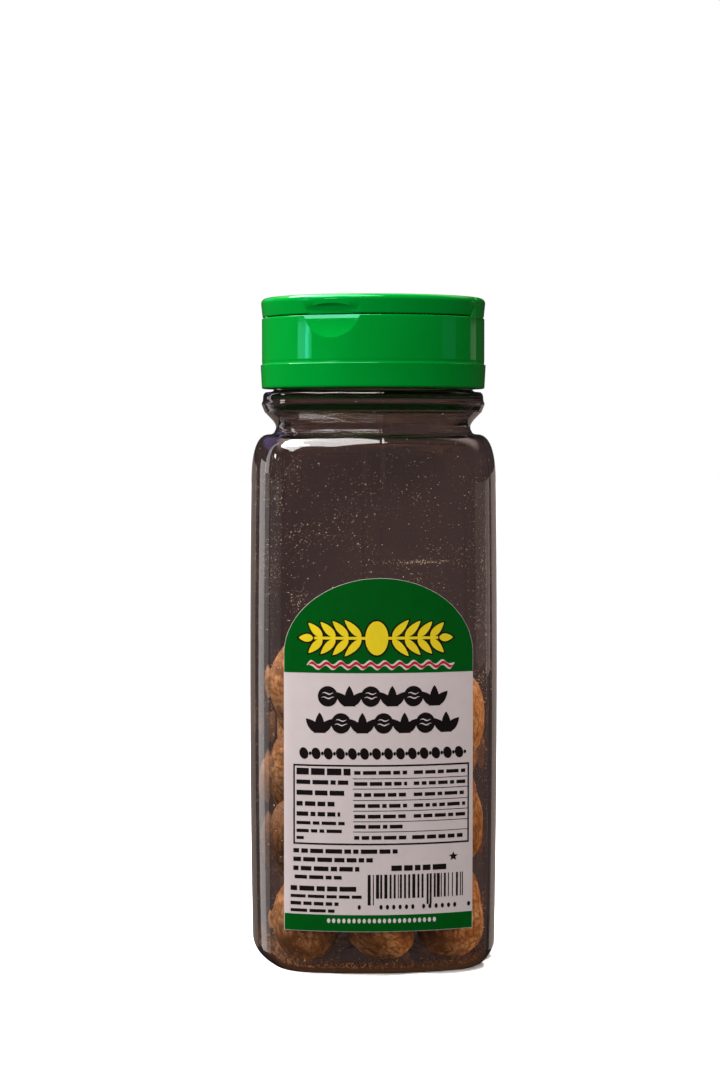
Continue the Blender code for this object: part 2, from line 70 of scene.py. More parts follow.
def noiseOf(material, place, scale, detail=3.0, roughness=0.5, stretch=None):
    if stretch:
        spread = addNode(material, "ShaderNodeMapping")
        spread.inputs["Scale"].default_value = stretch
        link(material, place, spread.inputs["Vector"])
        place = spread.outputs["Vector"]
    grain = addNode(material, "ShaderNodeTexNoise", Scale=scale, Detail=detail, Roughness=roughness)
    link(material, place, grain.inputs["Vector"])
    return grain.outputs["Fac"]


def rampOf(material, value, stops):
    # stops are (place, colour) pairs, colours as three numbers or one grey
    ramp = addNode(material, "ShaderNodeValToRGB")
    link(material, value, ramp.inputs["Fac"])
    points = ramp.color_ramp.elements
    while len(points) < len(stops):
        points.new(0.5)
    for point, (place, colour) in zip(points, stops):
        point.position = place
        point.color = (*colour, 1.0) if isinstance(colour, tuple) else (colour, colour, colour, 1.0)
    return ramp.outputs["Color"]


def rangeOf(material, value, low, high, fromLow=0.3, fromHigh=0.7, interpolation="LINEAR"):
    spread = addNode(material, "ShaderNodeMapRange")
    spread.interpolation_type = interpolation
    for key, number in (("From Min", fromLow), ("From Max", fromHigh), ("To Min", low), ("To Max", high)):
        spread.inputs[key].default_value = number
    link(material, value, spread.inputs["Value"])
    return spread.outputs["Result"]


def productOf(material, first, second):
    product = addNode(material, "ShaderNodeMath")
    product.operation = "MULTIPLY"
    link(material, first, product.inputs[0])
    link(material, second, product.inputs[1])
    return product.outputs["Value"]


def mixOf(material, below, over, share, blend="MIX"):
    # below, over and share are plain values or the outputs of nodes
    mix = addNode(material, "ShaderNodeMix")
    mix.data_type = "RGBA"
    mix.blend_type = blend
    for key, value in (("A", below), ("B", over), ("Factor", share)):
        if isinstance(value, bpy.types.NodeSocket):
            link(material, value, mix.inputs[key])
        else:
            mix.inputs[key].default_value = (*value, 1.0) if isinstance(value, tuple) else value
    return mix.outputs["Result"]


def heightOf(material, place):
    parts = addNode(material, "ShaderNodeSeparateXYZ")
    link(material, place, parts.inputs["Vector"])
    return parts.outputs["Z"]


def bumpOf(material, shader, height, strength, distance, below=None):
    bump = addNode(material, "ShaderNodeBump", Strength=strength, Distance=distance)
    link(material, height, bump.inputs["Height"])
    if below:
        link(material, below, bump.inputs["Normal"])
    link(material, bump.outputs["Normal"], shader.inputs["Normal"])
    return bump.outputs["Normal"]


def addPiece(name, mesh, material, body, smoothAngle=None):
    piece = bpy.data.objects.new(name, mesh)
    bpy.context.scene.collection.objects.link(piece)
    mesh.materials.append(material)
    if smoothAngle is not None:
        mesh.shade_smooth()
        mesh.set_sharp_from_angle(angle=math.radians(smoothAngle))
    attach(piece, body)
    return piece


def meshOf(name, build):
    mesh = bpy.data.meshes.new(name)
    build.to_mesh(mesh)
    build.free()
    return mesh


def meshFromRings(name, rings, firstPoint=None, lastPoint=None, closed=False):
    # rings of points joined one to the next, closed by an end point or from the last ring to the first
    build = bmesh.new()
    rows = [[build.verts.new(point) for point in ring] for ring in rings]
    pairs = list(zip(rows, rows[1:]))
    if closed:
        pairs.append((rows[-1], rows[0]))
    for low, high in pairs:
        for step in range(len(low)):
            after = (step + 1) % len(low)
            build.faces.new((low[step], low[after], high[after], high[step]))
    for point, row in ((firstPoint, rows[0]), (lastPoint, rows[-1])):
        if point is not None:
            middle = build.verts.new(point)
            for step in range(len(row)):
                build.faces.new((middle, row[step], row[(step + 1) % len(row)]))
    bmesh.ops.recalc_face_normals(build, faces=build.faces)
    return meshOf(name, build)


def arcPoints(centreR, centreZ, radius, fromAngle, toAngle, steps):
    # points of a rounded edge in a turned profile, angles in degrees from +r towards +z
    points = []
    for step in range(steps + 1):
        turn = math.radians(fromAngle + (toAngle - fromAngle) * step / steps)
        points.append((centreR + radius * math.cos(turn), centreZ + radius * math.sin(turn)))
    return points


jarSize = {
    "bodyHalf": 32.5, "widestZ": 68.0, "barrel": 0.45, "panelRadius": 66.0, "cornerRadius": 9.0,
    "wall": 1.0, "heelRadius": 5.0, "standRing": 9.5, "pushUp": 2.4, "baseThickness": 1.1,
    "shoulderFootZ": 124.0, "shoulderTopZ": 137.4, "shoulderTopRadius": 27.0, "shoulderPower": 2.6,
    "waistZ": 139.3, "waistRadius": 25.6, "ringFootZ": 144.6, "ringTopZ": 148.4, "ringRadius": 29.0,
    "neckRadius": 26.2, "neckBore": 24.6, "neckTopZ": 165.3,
    "partingDepth": 0.07,            # mould parting line, a faint groove up the front and the back
    "neckBeads": ((138.3, 0.10, 0.26), (143.2, 0.15, 0.20), (145.3, 0.34, 0.66)),  # height, lift, half width
}


def sectionHalf(z):
    # half the width of the body, which swells a little at its widest height
    reach = (z - jarSize["widestZ"]) / (jarSize["shoulderFootZ"] - jarSize["widestZ"])
    return jarSize["bodyHalf"] - jarSize["barrel"] * reach * reach


def sectionShape(half, panel, corner):
    # centres of the arcs of a panel and of a corner that meet without a kink
    panelCentre = half - panel
    reach = panel - corner
    cornerCentre = (panelCentre + math.sqrt(max(2 * reach * reach - panelCentre ** 2, 0.0))) / 2
    return panelCentre, max(cornerCentre, 0.0)


def sectionRadius(angle, half, panel, corner):
    quarter = math.pi / 2
    turn = abs((angle + quarter / 2) % quarter - quarter / 2)
    panelCentre, cornerCentre = sectionShape(half, panel, corner)
    limit = math.atan2(cornerCentre, cornerCentre - panelCentre)
    tangentX = panelCentre + panel * math.cos(limit)
    tangentY = panel * math.sin(limit)
    if cornerCentre < 1e-6 or turn <= math.atan2(tangentY, tangentX):
        return panelCentre * math.cos(turn) + math.sqrt(panel ** 2 - (panelCentre * math.sin(turn)) ** 2)
    along = cornerCentre * (math.cos(turn) + math.sin(turn))
    aside = cornerCentre * (math.cos(turn) - math.sin(turn))
    return along + math.sqrt(max(corner ** 2 - aside ** 2, 0.0))


def jarAngles():
    side = [0.35, 1.2] + [3 + 3 * step for step in range(11)] + [34.6 + 1.3 * step for step in range(8)]
    half = [-angle for angle in reversed(side)] + [0.0] + side + [45.0]
    return [math.radians(90 * quarter + angle) for quarter in range(4) for angle in half]


def jarRing(z, half, panel, corner, parting=0.0):
    ring = []
    for angle in jarAngles():
        radius = sectionRadius(angle, half, panel, corner)
        if abs(math.cos(angle)) < 1e-4:
            radius -= parting
        ring.append(Vector((radius * math.cos(angle), radius * math.sin(angle), z)) * mm)
    return ring


def shoulderRing(share, inset, parting):
    turn = share * math.pi / 2
    power = 2 / jarSize["shoulderPower"]
    pull = 1 - math.cos(turn) ** power
    top, footZ = jarSize["shoulderTopRadius"], jarSize["shoulderFootZ"]
    height, width = jarSize["shoulderTopZ"] - footZ, sectionHalf(footZ) - top
    outward = Vector((math.cos(turn) ** (2 - power) * height, math.sin(turn) ** (2 - power) * width))
    outward = outward.normalized() * inset          # the inner face keeps the wall's thickness all the way
    half, panel, corner = [start + (top - start) * pull - outward.x for start in
                           (sectionHalf(footZ), jarSize["panelRadius"], jarSize["cornerRadius"])]
    z = footZ + height * math.sin(turn) ** power - outward.y
    return jarRing(z, half, max(panel, half), min(corner, half), parting)


def roundRing(z, radius, parting=0.0):
    return jarRing(z, radius, radius, radius, parting)


def eased(share):
    return share * share * (3 - 2 * share)


def domeRadius():
    return sectionHalf(jarSize["heelRadius"]) - jarSize["heelRadius"] - jarSize["standRing"]


def domeRings(floorZ, steps):
    # the push-up in the middle of the base, from near the centre out to the stand ring
    dome = domeRadius()
    rings = []
    for step in range(1, steps):
        share = step / steps
        z = floorZ + jarSize["pushUp"] * (0.5 + 0.5 * math.cos(math.pi * share))
        rings.append(jarRing(z, dome * share, max(50.0 * share, dome * share), max(4.0 * share, 0.5)))
    return rings


def heelRings(inset, floorZ, steps):
    rings = []
    radius = jarSize["heelRadius"] - inset
    for step in range(steps + 1):
        turn = step / steps * math.pi / 2
        back = radius * (1 - math.sin(turn))
        z = floorZ + radius * (1 - math.cos(turn))
        half = sectionHalf(jarSize["heelRadius"]) - inset - back
        rings.append(jarRing(z, half, jarSize["panelRadius"] - inset - back, jarSize["cornerRadius"] - inset))
    return rings


def bodyRings(inset, count, parting):
    rings = []
    low, high = jarSize["heelRadius"], jarSize["shoulderFootZ"]
    for step in range(1, count):
        z = low + (high - low) * step / count
        rings.append(jarRing(z, sectionHalf(z) - inset, jarSize["panelRadius"] - inset,
                             jarSize["cornerRadius"] - inset, parting))
    return rings


def neckRadiusAt(z):
    # the neck's own outline below the cap: a fillet, the funnel up to the ring, and the ring
    size = jarSize
    top, waist = size["shoulderTopRadius"], size["waistRadius"]
    if z < size["waistZ"]:
        share = ((z - size["shoulderTopZ"]) / (size["waistZ"] - size["shoulderTopZ"])) ** 0.625
        return top + (waist - top) * (1 - (1 - share) ** 2)
    if z < size["ringFootZ"]:
        share = (z - size["waistZ"]) / (size["ringFootZ"] - size["waistZ"])
        return waist + (size["ringRadius"] - waist) * eased(share)
    share = (z - size["ringFootZ"]) / (size["ringTopZ"] - size["ringFootZ"])
    return size["ringRadius"] - 0.7 * share ** 8


def neckRings(inset, bore, steps, parting):
    size = jarSize
    rings = []
    low, high = size["shoulderTopZ"], size["ringTopZ"]
    for step in range(1, steps + 1):
        z = low + (high - low) * step / steps
        radius = neckRadiusAt(z) - inset
        if parting:                   # faint rounded beads run round the outside
            radius += sum(lift * math.exp(-((z - beadZ) / half) ** 2)
                          for beadZ, lift, half in size["neckBeads"])
        rings.append(roundRing(z - inset * (1 if z > size["ringFootZ"] + 1.5 else 0.5), radius, parting))
    rings.append(roundRing(size["ringTopZ"] + 0.15 - inset, bore + 0.5))
    rings.append(roundRing(size["ringTopZ"] + 0.5 - inset, bore))
    rings.append(roundRing(size["neckTopZ"] - 0.3, bore))
    return rings


def clearPlastic():
    look = {"tint": (0.90, 0.875, 0.87), "ior": 1.575, "smooth": 0.0, "dull": 0.022, "ripple": 0.05,
            "calmZ": 112.0, "calm": 0.04}            # from this height up, the share of haze and ripple left
    material, shader = newMaterial("clearPlastic")
    place = objectPlace(material)
    shader.inputs["Base Color"].default_value = (*look["tint"], 1.0)
    shader.inputs["Transmission Weight"].default_value = 1.0
    shader.inputs["IOR"].default_value = look["ior"]
    cloud = noiseOf(material, place, 60.0, detail=4.0)
    ripple = noiseOf(material, place, 45.0, detail=1.0, stretch=(1.0, 1.0, 0.35))
    calm = rangeOf(material, heightOf(material, place), 1.0, look["calm"], look["calmZ"] * mm,
                   (look["calmZ"] + 6) * mm)
    dull = rangeOf(material, cloud, look["smooth"], look["dull"], 0.45, 0.8)
    ripple = rangeOf(material, ripple, -0.5, 0.5, 0.0, 1.0)
    link(material, productOf(material, dull, calm), shader.inputs["Roughness"])
    bumpOf(material, shader, productOf(material, ripple, calm), look["ripple"], 0.0004)
    return material


def buildJar():
    depth, wall, thick = jarSize["partingDepth"], jarSize["wall"], jarSize["baseThickness"]
    pushUp, neck, bore = jarSize["pushUp"], jarSize["neckRadius"], jarSize["neckBore"]
    shoulderSteps, neckSteps = 40, 84
    outer = domeRings(0.0, 7) + heelRings(0.0, 0.0, 12) + bodyRings(0.0, 16, depth)
    outer += [shoulderRing(step / shoulderSteps, 0.0, depth) for step in range(shoulderSteps + 1)]
    outer += neckRings(0.0, neck, neckSteps, depth)
    inner = domeRings(thick, 7) + heelRings(wall, thick, 10) + bodyRings(wall, 12, 0.0)
    inner += [shoulderRing(step / shoulderSteps, wall, 0.0) for step in range(shoulderSteps + 1)]
    inner += neckRings(wall, bore, neckSteps, 0.0)
    lipTop = [roundRing(jarSize["neckTopZ"], radius) for radius in (neck - 0.3, bore + 0.3)]
    mesh = meshFromRings("jarShell", outer + lipTop + inner[::-1],
                         firstPoint=Vector((0, 0, pushUp)) * mm,
                         lastPoint=Vector((0, 0, pushUp + thick)) * mm)
    shell = addPiece("jarShell", mesh, clearPlastic(), "jar", smoothAngle=40)
    shell.visible_shadow = False      # clear plastic lets the lamps through to the nutmegs
    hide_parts("jar")
    print("jar shell:", len(mesh.polygons), "faces")


buildJar()


capSize = {
    "footZ": 149.3, "stepZ": 155.5, "seamZ": 167.8, "topZ": 172.9,
    "footRadius": 29.3, "stepRadius": 29.6, "skirtRadius": 29.25, "bore": 27.9, "boreTop": 27.2,
    "deckTopZ": 167.0, "deckUnderZ": 165.8, "steps": 144,
    "doorRadius": 29.45, "doorDraw": 0.36, "doorEdge": 1.3, "doorPlate": 1.3, "doorRim": 2.05,
    "ribTopHalf": 1.2, "ribFootHalf": 4.4, "gap": 0.3,
    "notchTurn": -26.0, "notchDepth": 1.05, "notchRoof": 2.2, "notchSlant": 1.6,
    "scoopRadius": 29.4, "scoopLean": (4.0, 18.5),   # the hollow's own radius, its lean at the seam and foot
    "pourRadius": 22.4, "pourEdge": 6.6, "siftRadius": 2.3,
    "siftRings": ((12.5, 3, 32.0), (19.0, 4, 28.0)),
}


def acrossFrame():
    # local X points out through the front thumb notch, local Y runs along the hinge rib
    return Matrix.Rotation(math.radians(capSize["notchTurn"] - 90), 4, "Z")


def circle(x, y, radius, steps):
    angles = [2 * math.pi * step / steps for step in range(steps)]
    return [(x + radius * math.cos(angle), y + radius * math.sin(angle)) for angle in angles]


def turnedRings(profile):
    return [[Vector((x, y, z)) * mm for x, y in circle(0.0, 0.0, radius, capSize["steps"])]
            for radius, z in profile]


def prismMesh(name, outline, low, high, upright=True):
    # an outline pushed from low to high: an upright section along local Y, or a plan along Z
    place = acrossFrame()
    build = bmesh.new()
    ends = []
    for reach in (low, high):
        points = [(x, reach, z) if upright else (x, z, reach) for x, z in outline]
        ends.append([build.verts.new(place @ (Vector(point) * mm)) for point in points])
    front, back = ends
    build.faces.new(front)
    build.faces.new(back[::-1])
    for step in range(len(outline)):
        after = (step + 1) % len(outline)
        build.faces.new((front[step], back[step], back[after], front[after]))
    bmesh.ops.recalc_face_normals(build, faces=build.faces)
    return meshOf(name, build)


def carve(mesh, tools):
    # apply Booleans one after the other
    worker = bpy.data.objects.new("worker", mesh)
    bpy.context.scene.collection.objects.link(worker)
    helpers = []
    for toolMesh, operation in tools:
        helper = bpy.data.objects.new("helper", toolMesh)
        bpy.context.scene.collection.objects.link(helper)
        helpers.append(helper)
        step = worker.modifiers.new("cut", "BOOLEAN")
        step.operation = operation
        step.object = helper
        step.solver = "EXACT"
    graph = bpy.context.evaluated_depsgraph_get()
    result = bpy.data.meshes.new_from_object(worker.evaluated_get(graph))
    for spare in helpers + [worker]:
        bpy.data.objects.remove(spare, do_unlink=True)
    return result


def ribHalf(z, spread=0.0):
    share = (capSize["topZ"] - z) / (capSize["topZ"] - capSize["seamZ"])
    return capSize["ribTopHalf"] + (capSize["ribFootHalf"] - capSize["ribTopHalf"]) * share + spread


def doorEdgeProfile():
    edge = capSize["doorEdge"]
    return arcPoints(capSize["doorRadius"] - edge, capSize["topZ"] - edge, edge, 90, 0, 8)


def ribMesh():
    size = capSize
    foot = size["deckTopZ"] - 0.6
    wedge = [(-ribHalf(foot), foot), (ribHalf(foot), foot),
             (size["ribTopHalf"], size["topZ"]), (-size["ribTopHalf"], size["topZ"])]
    seat = size["boreTop"] + 0.8
    profile = [(size["doorRadius"] - size["doorEdge"], size["topZ"] + 1)] + doorEdgeProfile()
    profile += [(size["doorRadius"], size["seamZ"] - 0.5), (seat, size["seamZ"] - 0.5), (seat, foot - 1)]
    envelope = meshFromRings("ribEnds", turnedRings(profile),
                             firstPoint=Vector((0, 0, size["topZ"] + 1)) * mm,
                             lastPoint=Vector((0, 0, foot - 1)) * mm)
    return carve(prismMesh("ribForm", wedge, -32, 32), [(envelope, "INTERSECT")])


def capMesh():
    size = capSize
    footZ, stepZ, deckZ, under = size["footZ"], size["stepZ"], size["deckTopZ"], size["deckUnderZ"]
    foot, step, skirt, boreTop = size["footRadius"], size["stepRadius"], size["skirtRadius"], size["boreTop"]
    skirtTop = size["seamZ"] - size["gap"] / 2
    profile = [(0.9, deckZ), (boreTop - 0.4, deckZ), (boreTop, skirtTop)]
    profile += arcPoints(skirt - 0.25, skirtTop - 0.25, 0.25, 90, 0, 3)
    profile += [(skirt, skirtTop - 0.5), (skirt, 162.0), (skirt, stepZ + 1.2), (skirt, stepZ + 0.9),
                (skirt - 0.06, stepZ + 0.62), (skirt - 0.05, stepZ + 0.3), (skirt + 0.03, stepZ + 0.02),
                (step - 0.05, stepZ), (step, stepZ - 0.07), (step - 0.02, stepZ - 0.35),
                (foot + 0.04, footZ + 1.1), (foot + 0.01, footZ + 0.6)]
    profile += arcPoints(foot - 0.45, footZ + 0.45, 0.45, 0, -90, 4)
    profile += [(size["bore"], footZ), (size["bore"], 158), (boreTop, 160), (boreTop, under), (0.9, under)]
    tools = [(ribMesh(), "UNION")]

    wide = ribHalf(under) - 1.1
    trough = [(-wide, under - 2), (wide, under - 2), (wide, under), (0.55, size["topZ"] - 1.3),
              (-0.55, size["topZ"] - 1.3), (-wide, under)]
    tools.append((prismMesh("ribHollow", trough, -24.5, 24.5), "DIFFERENCE"))

    depth, hollow = size["notchDepth"], size["scoopRadius"]
    lean, most = size["scoopLean"]
    centreR = skirt - depth + hollow * math.cos(math.radians(lean))
    centreZ = size["seamZ"] + hollow * math.sin(math.radians(lean))
    for side in (1, -1):
        curve = arcPoints(centreR, centreZ, hollow, 180 + lean, 180 + most, 14)
        scoop = [(side * x, z) for x, z in [(skirt - depth, size["seamZ"] + 2)] + curve]
        scoop += [(side * (skirt + 4), scoop[-1][1]), (side * (skirt + 4), size["seamZ"] + 2)]
        tools.append((prismMesh("notchScoop", scoop, -12, 12), "DIFFERENCE"))

    limit = math.degrees(math.acos(size["pourEdge"] / size["pourRadius"]))
    moon = arcPoints(0.0, 0.0, size["pourRadius"], -limit, limit, 40)
    tools.append((prismMesh("pourOpening", moon, under - 1, deckZ + 1, upright=False), "DIFFERENCE"))
    for ringRadius, count, spread in size["siftRings"]:
        for number in range(count):
            angle = math.pi + math.radians(spread * (number - (count - 1) / 2))
            hole = circle(ringRadius * math.cos(angle), ringRadius * math.sin(angle), size["siftRadius"], 28)
            tools.append((prismMesh("siftHole", hole, under - 1, deckZ + 1, upright=False), "DIFFERENCE"))
    mesh = carve(meshFromRings("capSkirt", turnedRings(profile), closed=True), tools)
    outward = acrossFrame() @ Vector((1, 0, 0))
    scoopFaces = [face.index for face in mesh.polygons
                  if size["seamZ"] - 7 < face.center.z / mm < size["seamZ"] and face.normal.z > 0.05
                  and abs(face.normal.dot(outward)) > 0.999 * math.sqrt(1 - face.normal.z ** 2)]
    return mesh, scoopFaces


def doorMesh(side):
    size = capSize
    foot = size["seamZ"] + size["gap"] / 2
    radius = size["doorRadius"]
    profile = [(0.9, size["topZ"]), (radius - size["doorEdge"] - 0.4, size["topZ"])] + doorEdgeProfile()
    low = radius - size["doorDraw"]
    profile += [(radius - 0.03, size["topZ"] - size["doorEdge"] - 0.3), (low + 0.03, foot + 0.5)]
    profile += arcPoints(low - 0.2, foot + 0.2, 0.2, 0, -90, 3)
    rim, plate = radius - size["doorRim"], size["topZ"] - size["doorPlate"]
    profile += [(rim, foot), (rim, plate), (0.9, plate)]
    low, high = foot - 3, size["topZ"] + 1
    keep = [(side * ribHalf(low, size["gap"]), low), (side * 40, low), (side * 40, high),
            (side * ribHalf(high, size["gap"]), high)]
    face = radius - size["notchDepth"] - 0.1
    roof = size["topZ"] - size["notchRoof"]
    depth, slant = size["notchDepth"] + 0.1, size["notchSlant"]
    recess = [(side * face, foot - 1), (side * (face + 5), foot - 1), (side * (face + 5), roof + slant * 4),
              (side * (face + depth), roof), (side * (face + depth * 0.4), roof - slant * 0.55),
              (side * (face + depth * 0.1), roof - slant * 0.86), (side * face, roof - slant)]
    tools = [(prismMesh("doorHalf", keep, -40, 40), "INTERSECT"),
             (prismMesh("thumbRecess", recess, -12, 12), "DIFFERENCE")]
    return carve(meshFromRings("doorPlate", turnedRings(profile), closed=True), tools)


def capPlastic():
    look = {"deep": (0.0, 0.215, 0.018), "fresh": (0.0, 0.262, 0.028), "mirror": (0.25, 1.0, 0.75),
            "smooth": 0.045, "dull": 0.11}
    material, shader = newMaterial("greenCapPlastic")
    place = objectPlace(material)
    cloud = noiseOf(material, place, 26.0, detail=5.0)
    link(material, rampOf(material, cloud, [(0.35, look["deep"]), (0.7, look["fresh"])]),
         shader.inputs["Base Color"])
    handling = noiseOf(material, place, 110.0, detail=6.0, roughness=0.65)
    link(material, rangeOf(material, handling, look["smooth"], look["dull"], 0.42, 0.7),
         shader.inputs["Roughness"])
    shader.inputs["IOR"].default_value = 1.49
    shader.inputs["Specular Tint"].default_value = (*look["mirror"], 1.0)
    grain = noiseOf(material, place, 900.0, detail=2.0)
    fine = bumpOf(material, shader, grain, 0.06, 0.00004)
    flow = noiseOf(material, place, 70.0, detail=1.0, stretch=(1.0, 1.0, 0.3))
    bumpOf(material, shader, flow, 0.10, 0.0002, below=fine)
    return material


def buildCap():
    green = capPlastic()
    mesh, scoopFaces = capMesh()
    skirt = addPiece("capSkirt", mesh, green, "jar", smoothAngle=32)
    for index in scoopFaces:                         # the thumb scoops keep their crisp rim
        mesh.polygons[index].use_smooth = False
    print("scoop faces:", len(scoopFaces))
    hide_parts("cap")
    for name, body, side in (("frontDoor", "front_door", 1), ("backDoor", "back_door", -1)):
        door = addPiece(name, doorMesh(side), green, body, smoothAngle=32)
        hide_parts(body)
    print("cap and doors:", len(skirt.data.polygons), "faces on the skirt")


buildCap()


labelSize = {
    "half": 24.0, "centreX": -0.7, "footZ": 11.7, "springZ": 82.0, "arch": 19.3,
    "backOff": 0.06, "faceOff": 0.20,    # paper, off the panel
    "inkOff": 0.225, "inkStep": 0.025,   # first ink and each ink printed over it
    "edge": 0.07,                        # bare paper along the arch
}


def panelFront(x, z):
    half = sectionHalf(z)
    panel, corner = jarSize["panelRadius"], jarSize["cornerRadius"]
    panelCentre, cornerCentre = sectionShape(half, panel, corner)
    limit = math.atan2(cornerCentre, cornerCentre - panelCentre)
    if abs(x) <= panel * math.sin(limit):
        return panelCentre + math.sqrt(panel ** 2 - x * x)
    return cornerCentre + math.sqrt(corner ** 2 - (abs(x) - cornerCentre) ** 2)


def labelPoint(x, z, off):
    # x counts from the middle of the label
    place = x + labelSize["centreX"]
    return Vector((place, -panelFront(place, z) - off, z)) * mm


def inkPatch(build, outline, layer):
    # one printed shape, cut into strips so that it bends with the panel
    off = labelSize["inkOff"] + labelSize["inkStep"] * layer
    flat = bmesh.new()
    flat.faces.new([flat.verts.new((x, 0, z)) for x, z in outline])
    left, right = min(x for x, _ in outline), max(x for x, _ in outline)
    flatPart = [2.0 * step + 0.013 for step in range(-10, 11)]
    turnedPart = [side * (20.5 + 0.4 * step) for side in (-1, 1) for step in range(10)]
    for line in flatPart + turnedPart:               # closer cuts where the panel turns its corner
        if left < line < right:
            bmesh.ops.bisect_plane(flat, geom=flat.verts[:] + flat.edges[:] + flat.faces[:],
                                   plane_co=(line, 0, 0), plane_no=(1, 0, 0))
    low, high = min(z for _, z in outline), max(z for _, z in outline)
    for step in range(1, int((high - low) / 3.0) + 1):
        bmesh.ops.bisect_plane(flat, geom=flat.verts[:] + flat.edges[:] + flat.faces[:],
                               plane_co=(0, 0, low + 3.0 * step + 0.017), plane_no=(0, 0, 1))
    bmesh.ops.triangulate(flat, faces=flat.faces[:])
    places = {vert: build.verts.new(labelPoint(vert.co.x, vert.co.z, off)) for vert in flat.verts}
    for face in flat.faces:
        corners = [places[vert] for vert in face.verts]
        normal = (corners[1].co - corners[0].co).cross(corners[2].co - corners[0].co)
        if normal.y > 0:
            corners.reverse()
        build.faces.new(corners)
    flat.free()


def barOutline(x0, x1, z0, z1):
    return [(x0, z0), (x1, z0), (x1, z1), (x0, z1)]


def leaned(x, z, tilt, points):
    # points about 0, 0 turned by tilt degrees and set down at x, z
    turn = math.radians(tilt)
    return [(x + a * math.cos(turn) - b * math.sin(turn), z + a * math.sin(turn) + b * math.cos(turn))
            for a, b in points]


def ovalOutline(x, z, rx, rz, tilt=0.0, steps=28):
    angles = [2 * math.pi * step / steps for step in range(steps)]
    return leaned(x, z, tilt, [(rx * math.cos(angle), rz * math.sin(angle)) for angle in angles])


def leafOutline(x, z, length, width, tilt, grow=0.0):
    # a pointed leaf that starts at x, z and leans to tilt degrees; grow adds a rim
    upper, lower = [], []
    for step in range(15):
        share = step / 14
        along = -grow * 1.3 + (length + grow * 2.6) * share
        half = (width / 2 + grow) * math.sin(math.pi * share ** 0.8) ** 0.8 if 0 < share < 1 else 0.0
        upper.append((along, half))
        lower.append((along, -half))
    return leaned(x, z, tilt, upper + lower[-2:0:-1])


def waveOutline(x0, x1, z, swing, length, width):
    upper, lower = [], []
    count = int((x1 - x0) / 0.35)
    for step in range(count + 1):
        x = x0 + (x1 - x0) * step / count
        middle = z + swing * math.sin(2 * math.pi * (x - x0) / length)
        taper = min(1.0, (x - x0) / 1.2 + 0.15, (x1 - x) / 1.2 + 0.15)
        upper.append((x, middle + width / 2 * taper))
        lower.append((x, middle - width / 2 * taper))
    return upper + lower[::-1]


def starOutline(x, z, radius):
    points = []
    for step in range(10):
        reach = radius if step % 2 == 0 else radius * 0.45
        angle = math.radians(90 + 36 * step)
        points.append((x + reach * math.cos(angle), z + reach * math.sin(angle)))
    return points


def archOutline(margin, foot):
    points = [(-labelSize["half"] + margin, foot), (labelSize["half"] - margin, foot)]
    for step in range(61):
        turn = math.pi * (0.5 - step / 60)
        points.append(((labelSize["half"] - margin) * math.sin(turn),
                       labelSize["springZ"] + (labelSize["arch"] - margin) * math.cos(turn)))
    return points


def wordBars(draw, x0, x1, z, height, gap=0.55, shortest=1.2, longest=4.2):
    # plain bars of uneven length, one after the other, in the first ink
    bars = []
    x = x0
    while x < x1 - shortest * 0.5:
        end = min(x + draw.uniform(shortest, longest), x1)
        bars.append((barOutline(x, end, z - height / 2, z + height / 2), 0))
        x = end + gap
    return bars


def greenPrint():
    footZ = labelSize["footZ"]
    return [(archOutline(labelSize["edge"], 77.4), 0),
            (barOutline(-labelSize["half"] + 0.12, labelSize["half"] - 0.12, footZ + 0.1, 16.0), 0)]


def leafAndRim(x, z, length, width, tilt):
    return [leafOutline(x, z, length, width, tilt, grow) for grow in (0.0, 0.42)]


def sprigShapes():
    # a laurel of leaves on a stem, with a seed in the middle: (outline, outline of its dark rim)
    middle, stem = -0.8, 86.2
    shapes = [(barOutline(-16.4, 14.8, stem - 0.35, stem + 0.35),
               barOutline(-16.9, 15.3, stem - 0.75, stem + 0.75))]
    for side in (-1, 1):
        for number in range(4):
            x, size = middle + side * (3.9 + 3.25 * number), 6.0 - 0.35 * number
            for lean in (46, -46):
                tilt = lean if side > 0 else 180 - lean
                shapes.append(leafAndRim(x, stem + math.copysign(0.25, lean), size, 1.95, tilt))
        shapes.append(leafAndRim(middle + side * 15.9, stem, 3.6, 2.0, 0 if side > 0 else 180))
    shapes.append((ovalOutline(middle, stem, 2.9, 4.3), ovalOutline(middle, stem, 3.35, 4.75)))
    return shapes


def headingShapes():
    # two heavy rows of seeds and leaf pairs, with the light marks that are printed over them
    dark, light = [], []
    for z, x0, x1, count in ((71.5, -15.8, 16.6, 6), (64.7, -17.8, 19.6, 7)):
        pitch = (x1 - x0) / count
        for number in range(count):
            x = x0 + pitch * (number + 0.5)
            if number % 2 == (count % 2):
                dark.append(ovalOutline(x, z, pitch * 0.46, 2.6, 0))
                light.append(waveOutline(x - pitch * 0.26, x + pitch * 0.26, z + 0.75, 0.22, 2.4, 0.3))
                light.append(waveOutline(x - pitch * 0.30, x + pitch * 0.30, z - 0.35, 0.22, 2.4, 0.3))
            else:
                for tilt in (46, 90, 134):
                    dark.append(leafOutline(x, z - 2.4, 5.1 if tilt == 90 else 4.9, 2.3, tilt))
                dark.append(barOutline(x - 1.5, x + 1.5, z - 2.5, z - 1.9))
    return dark, light


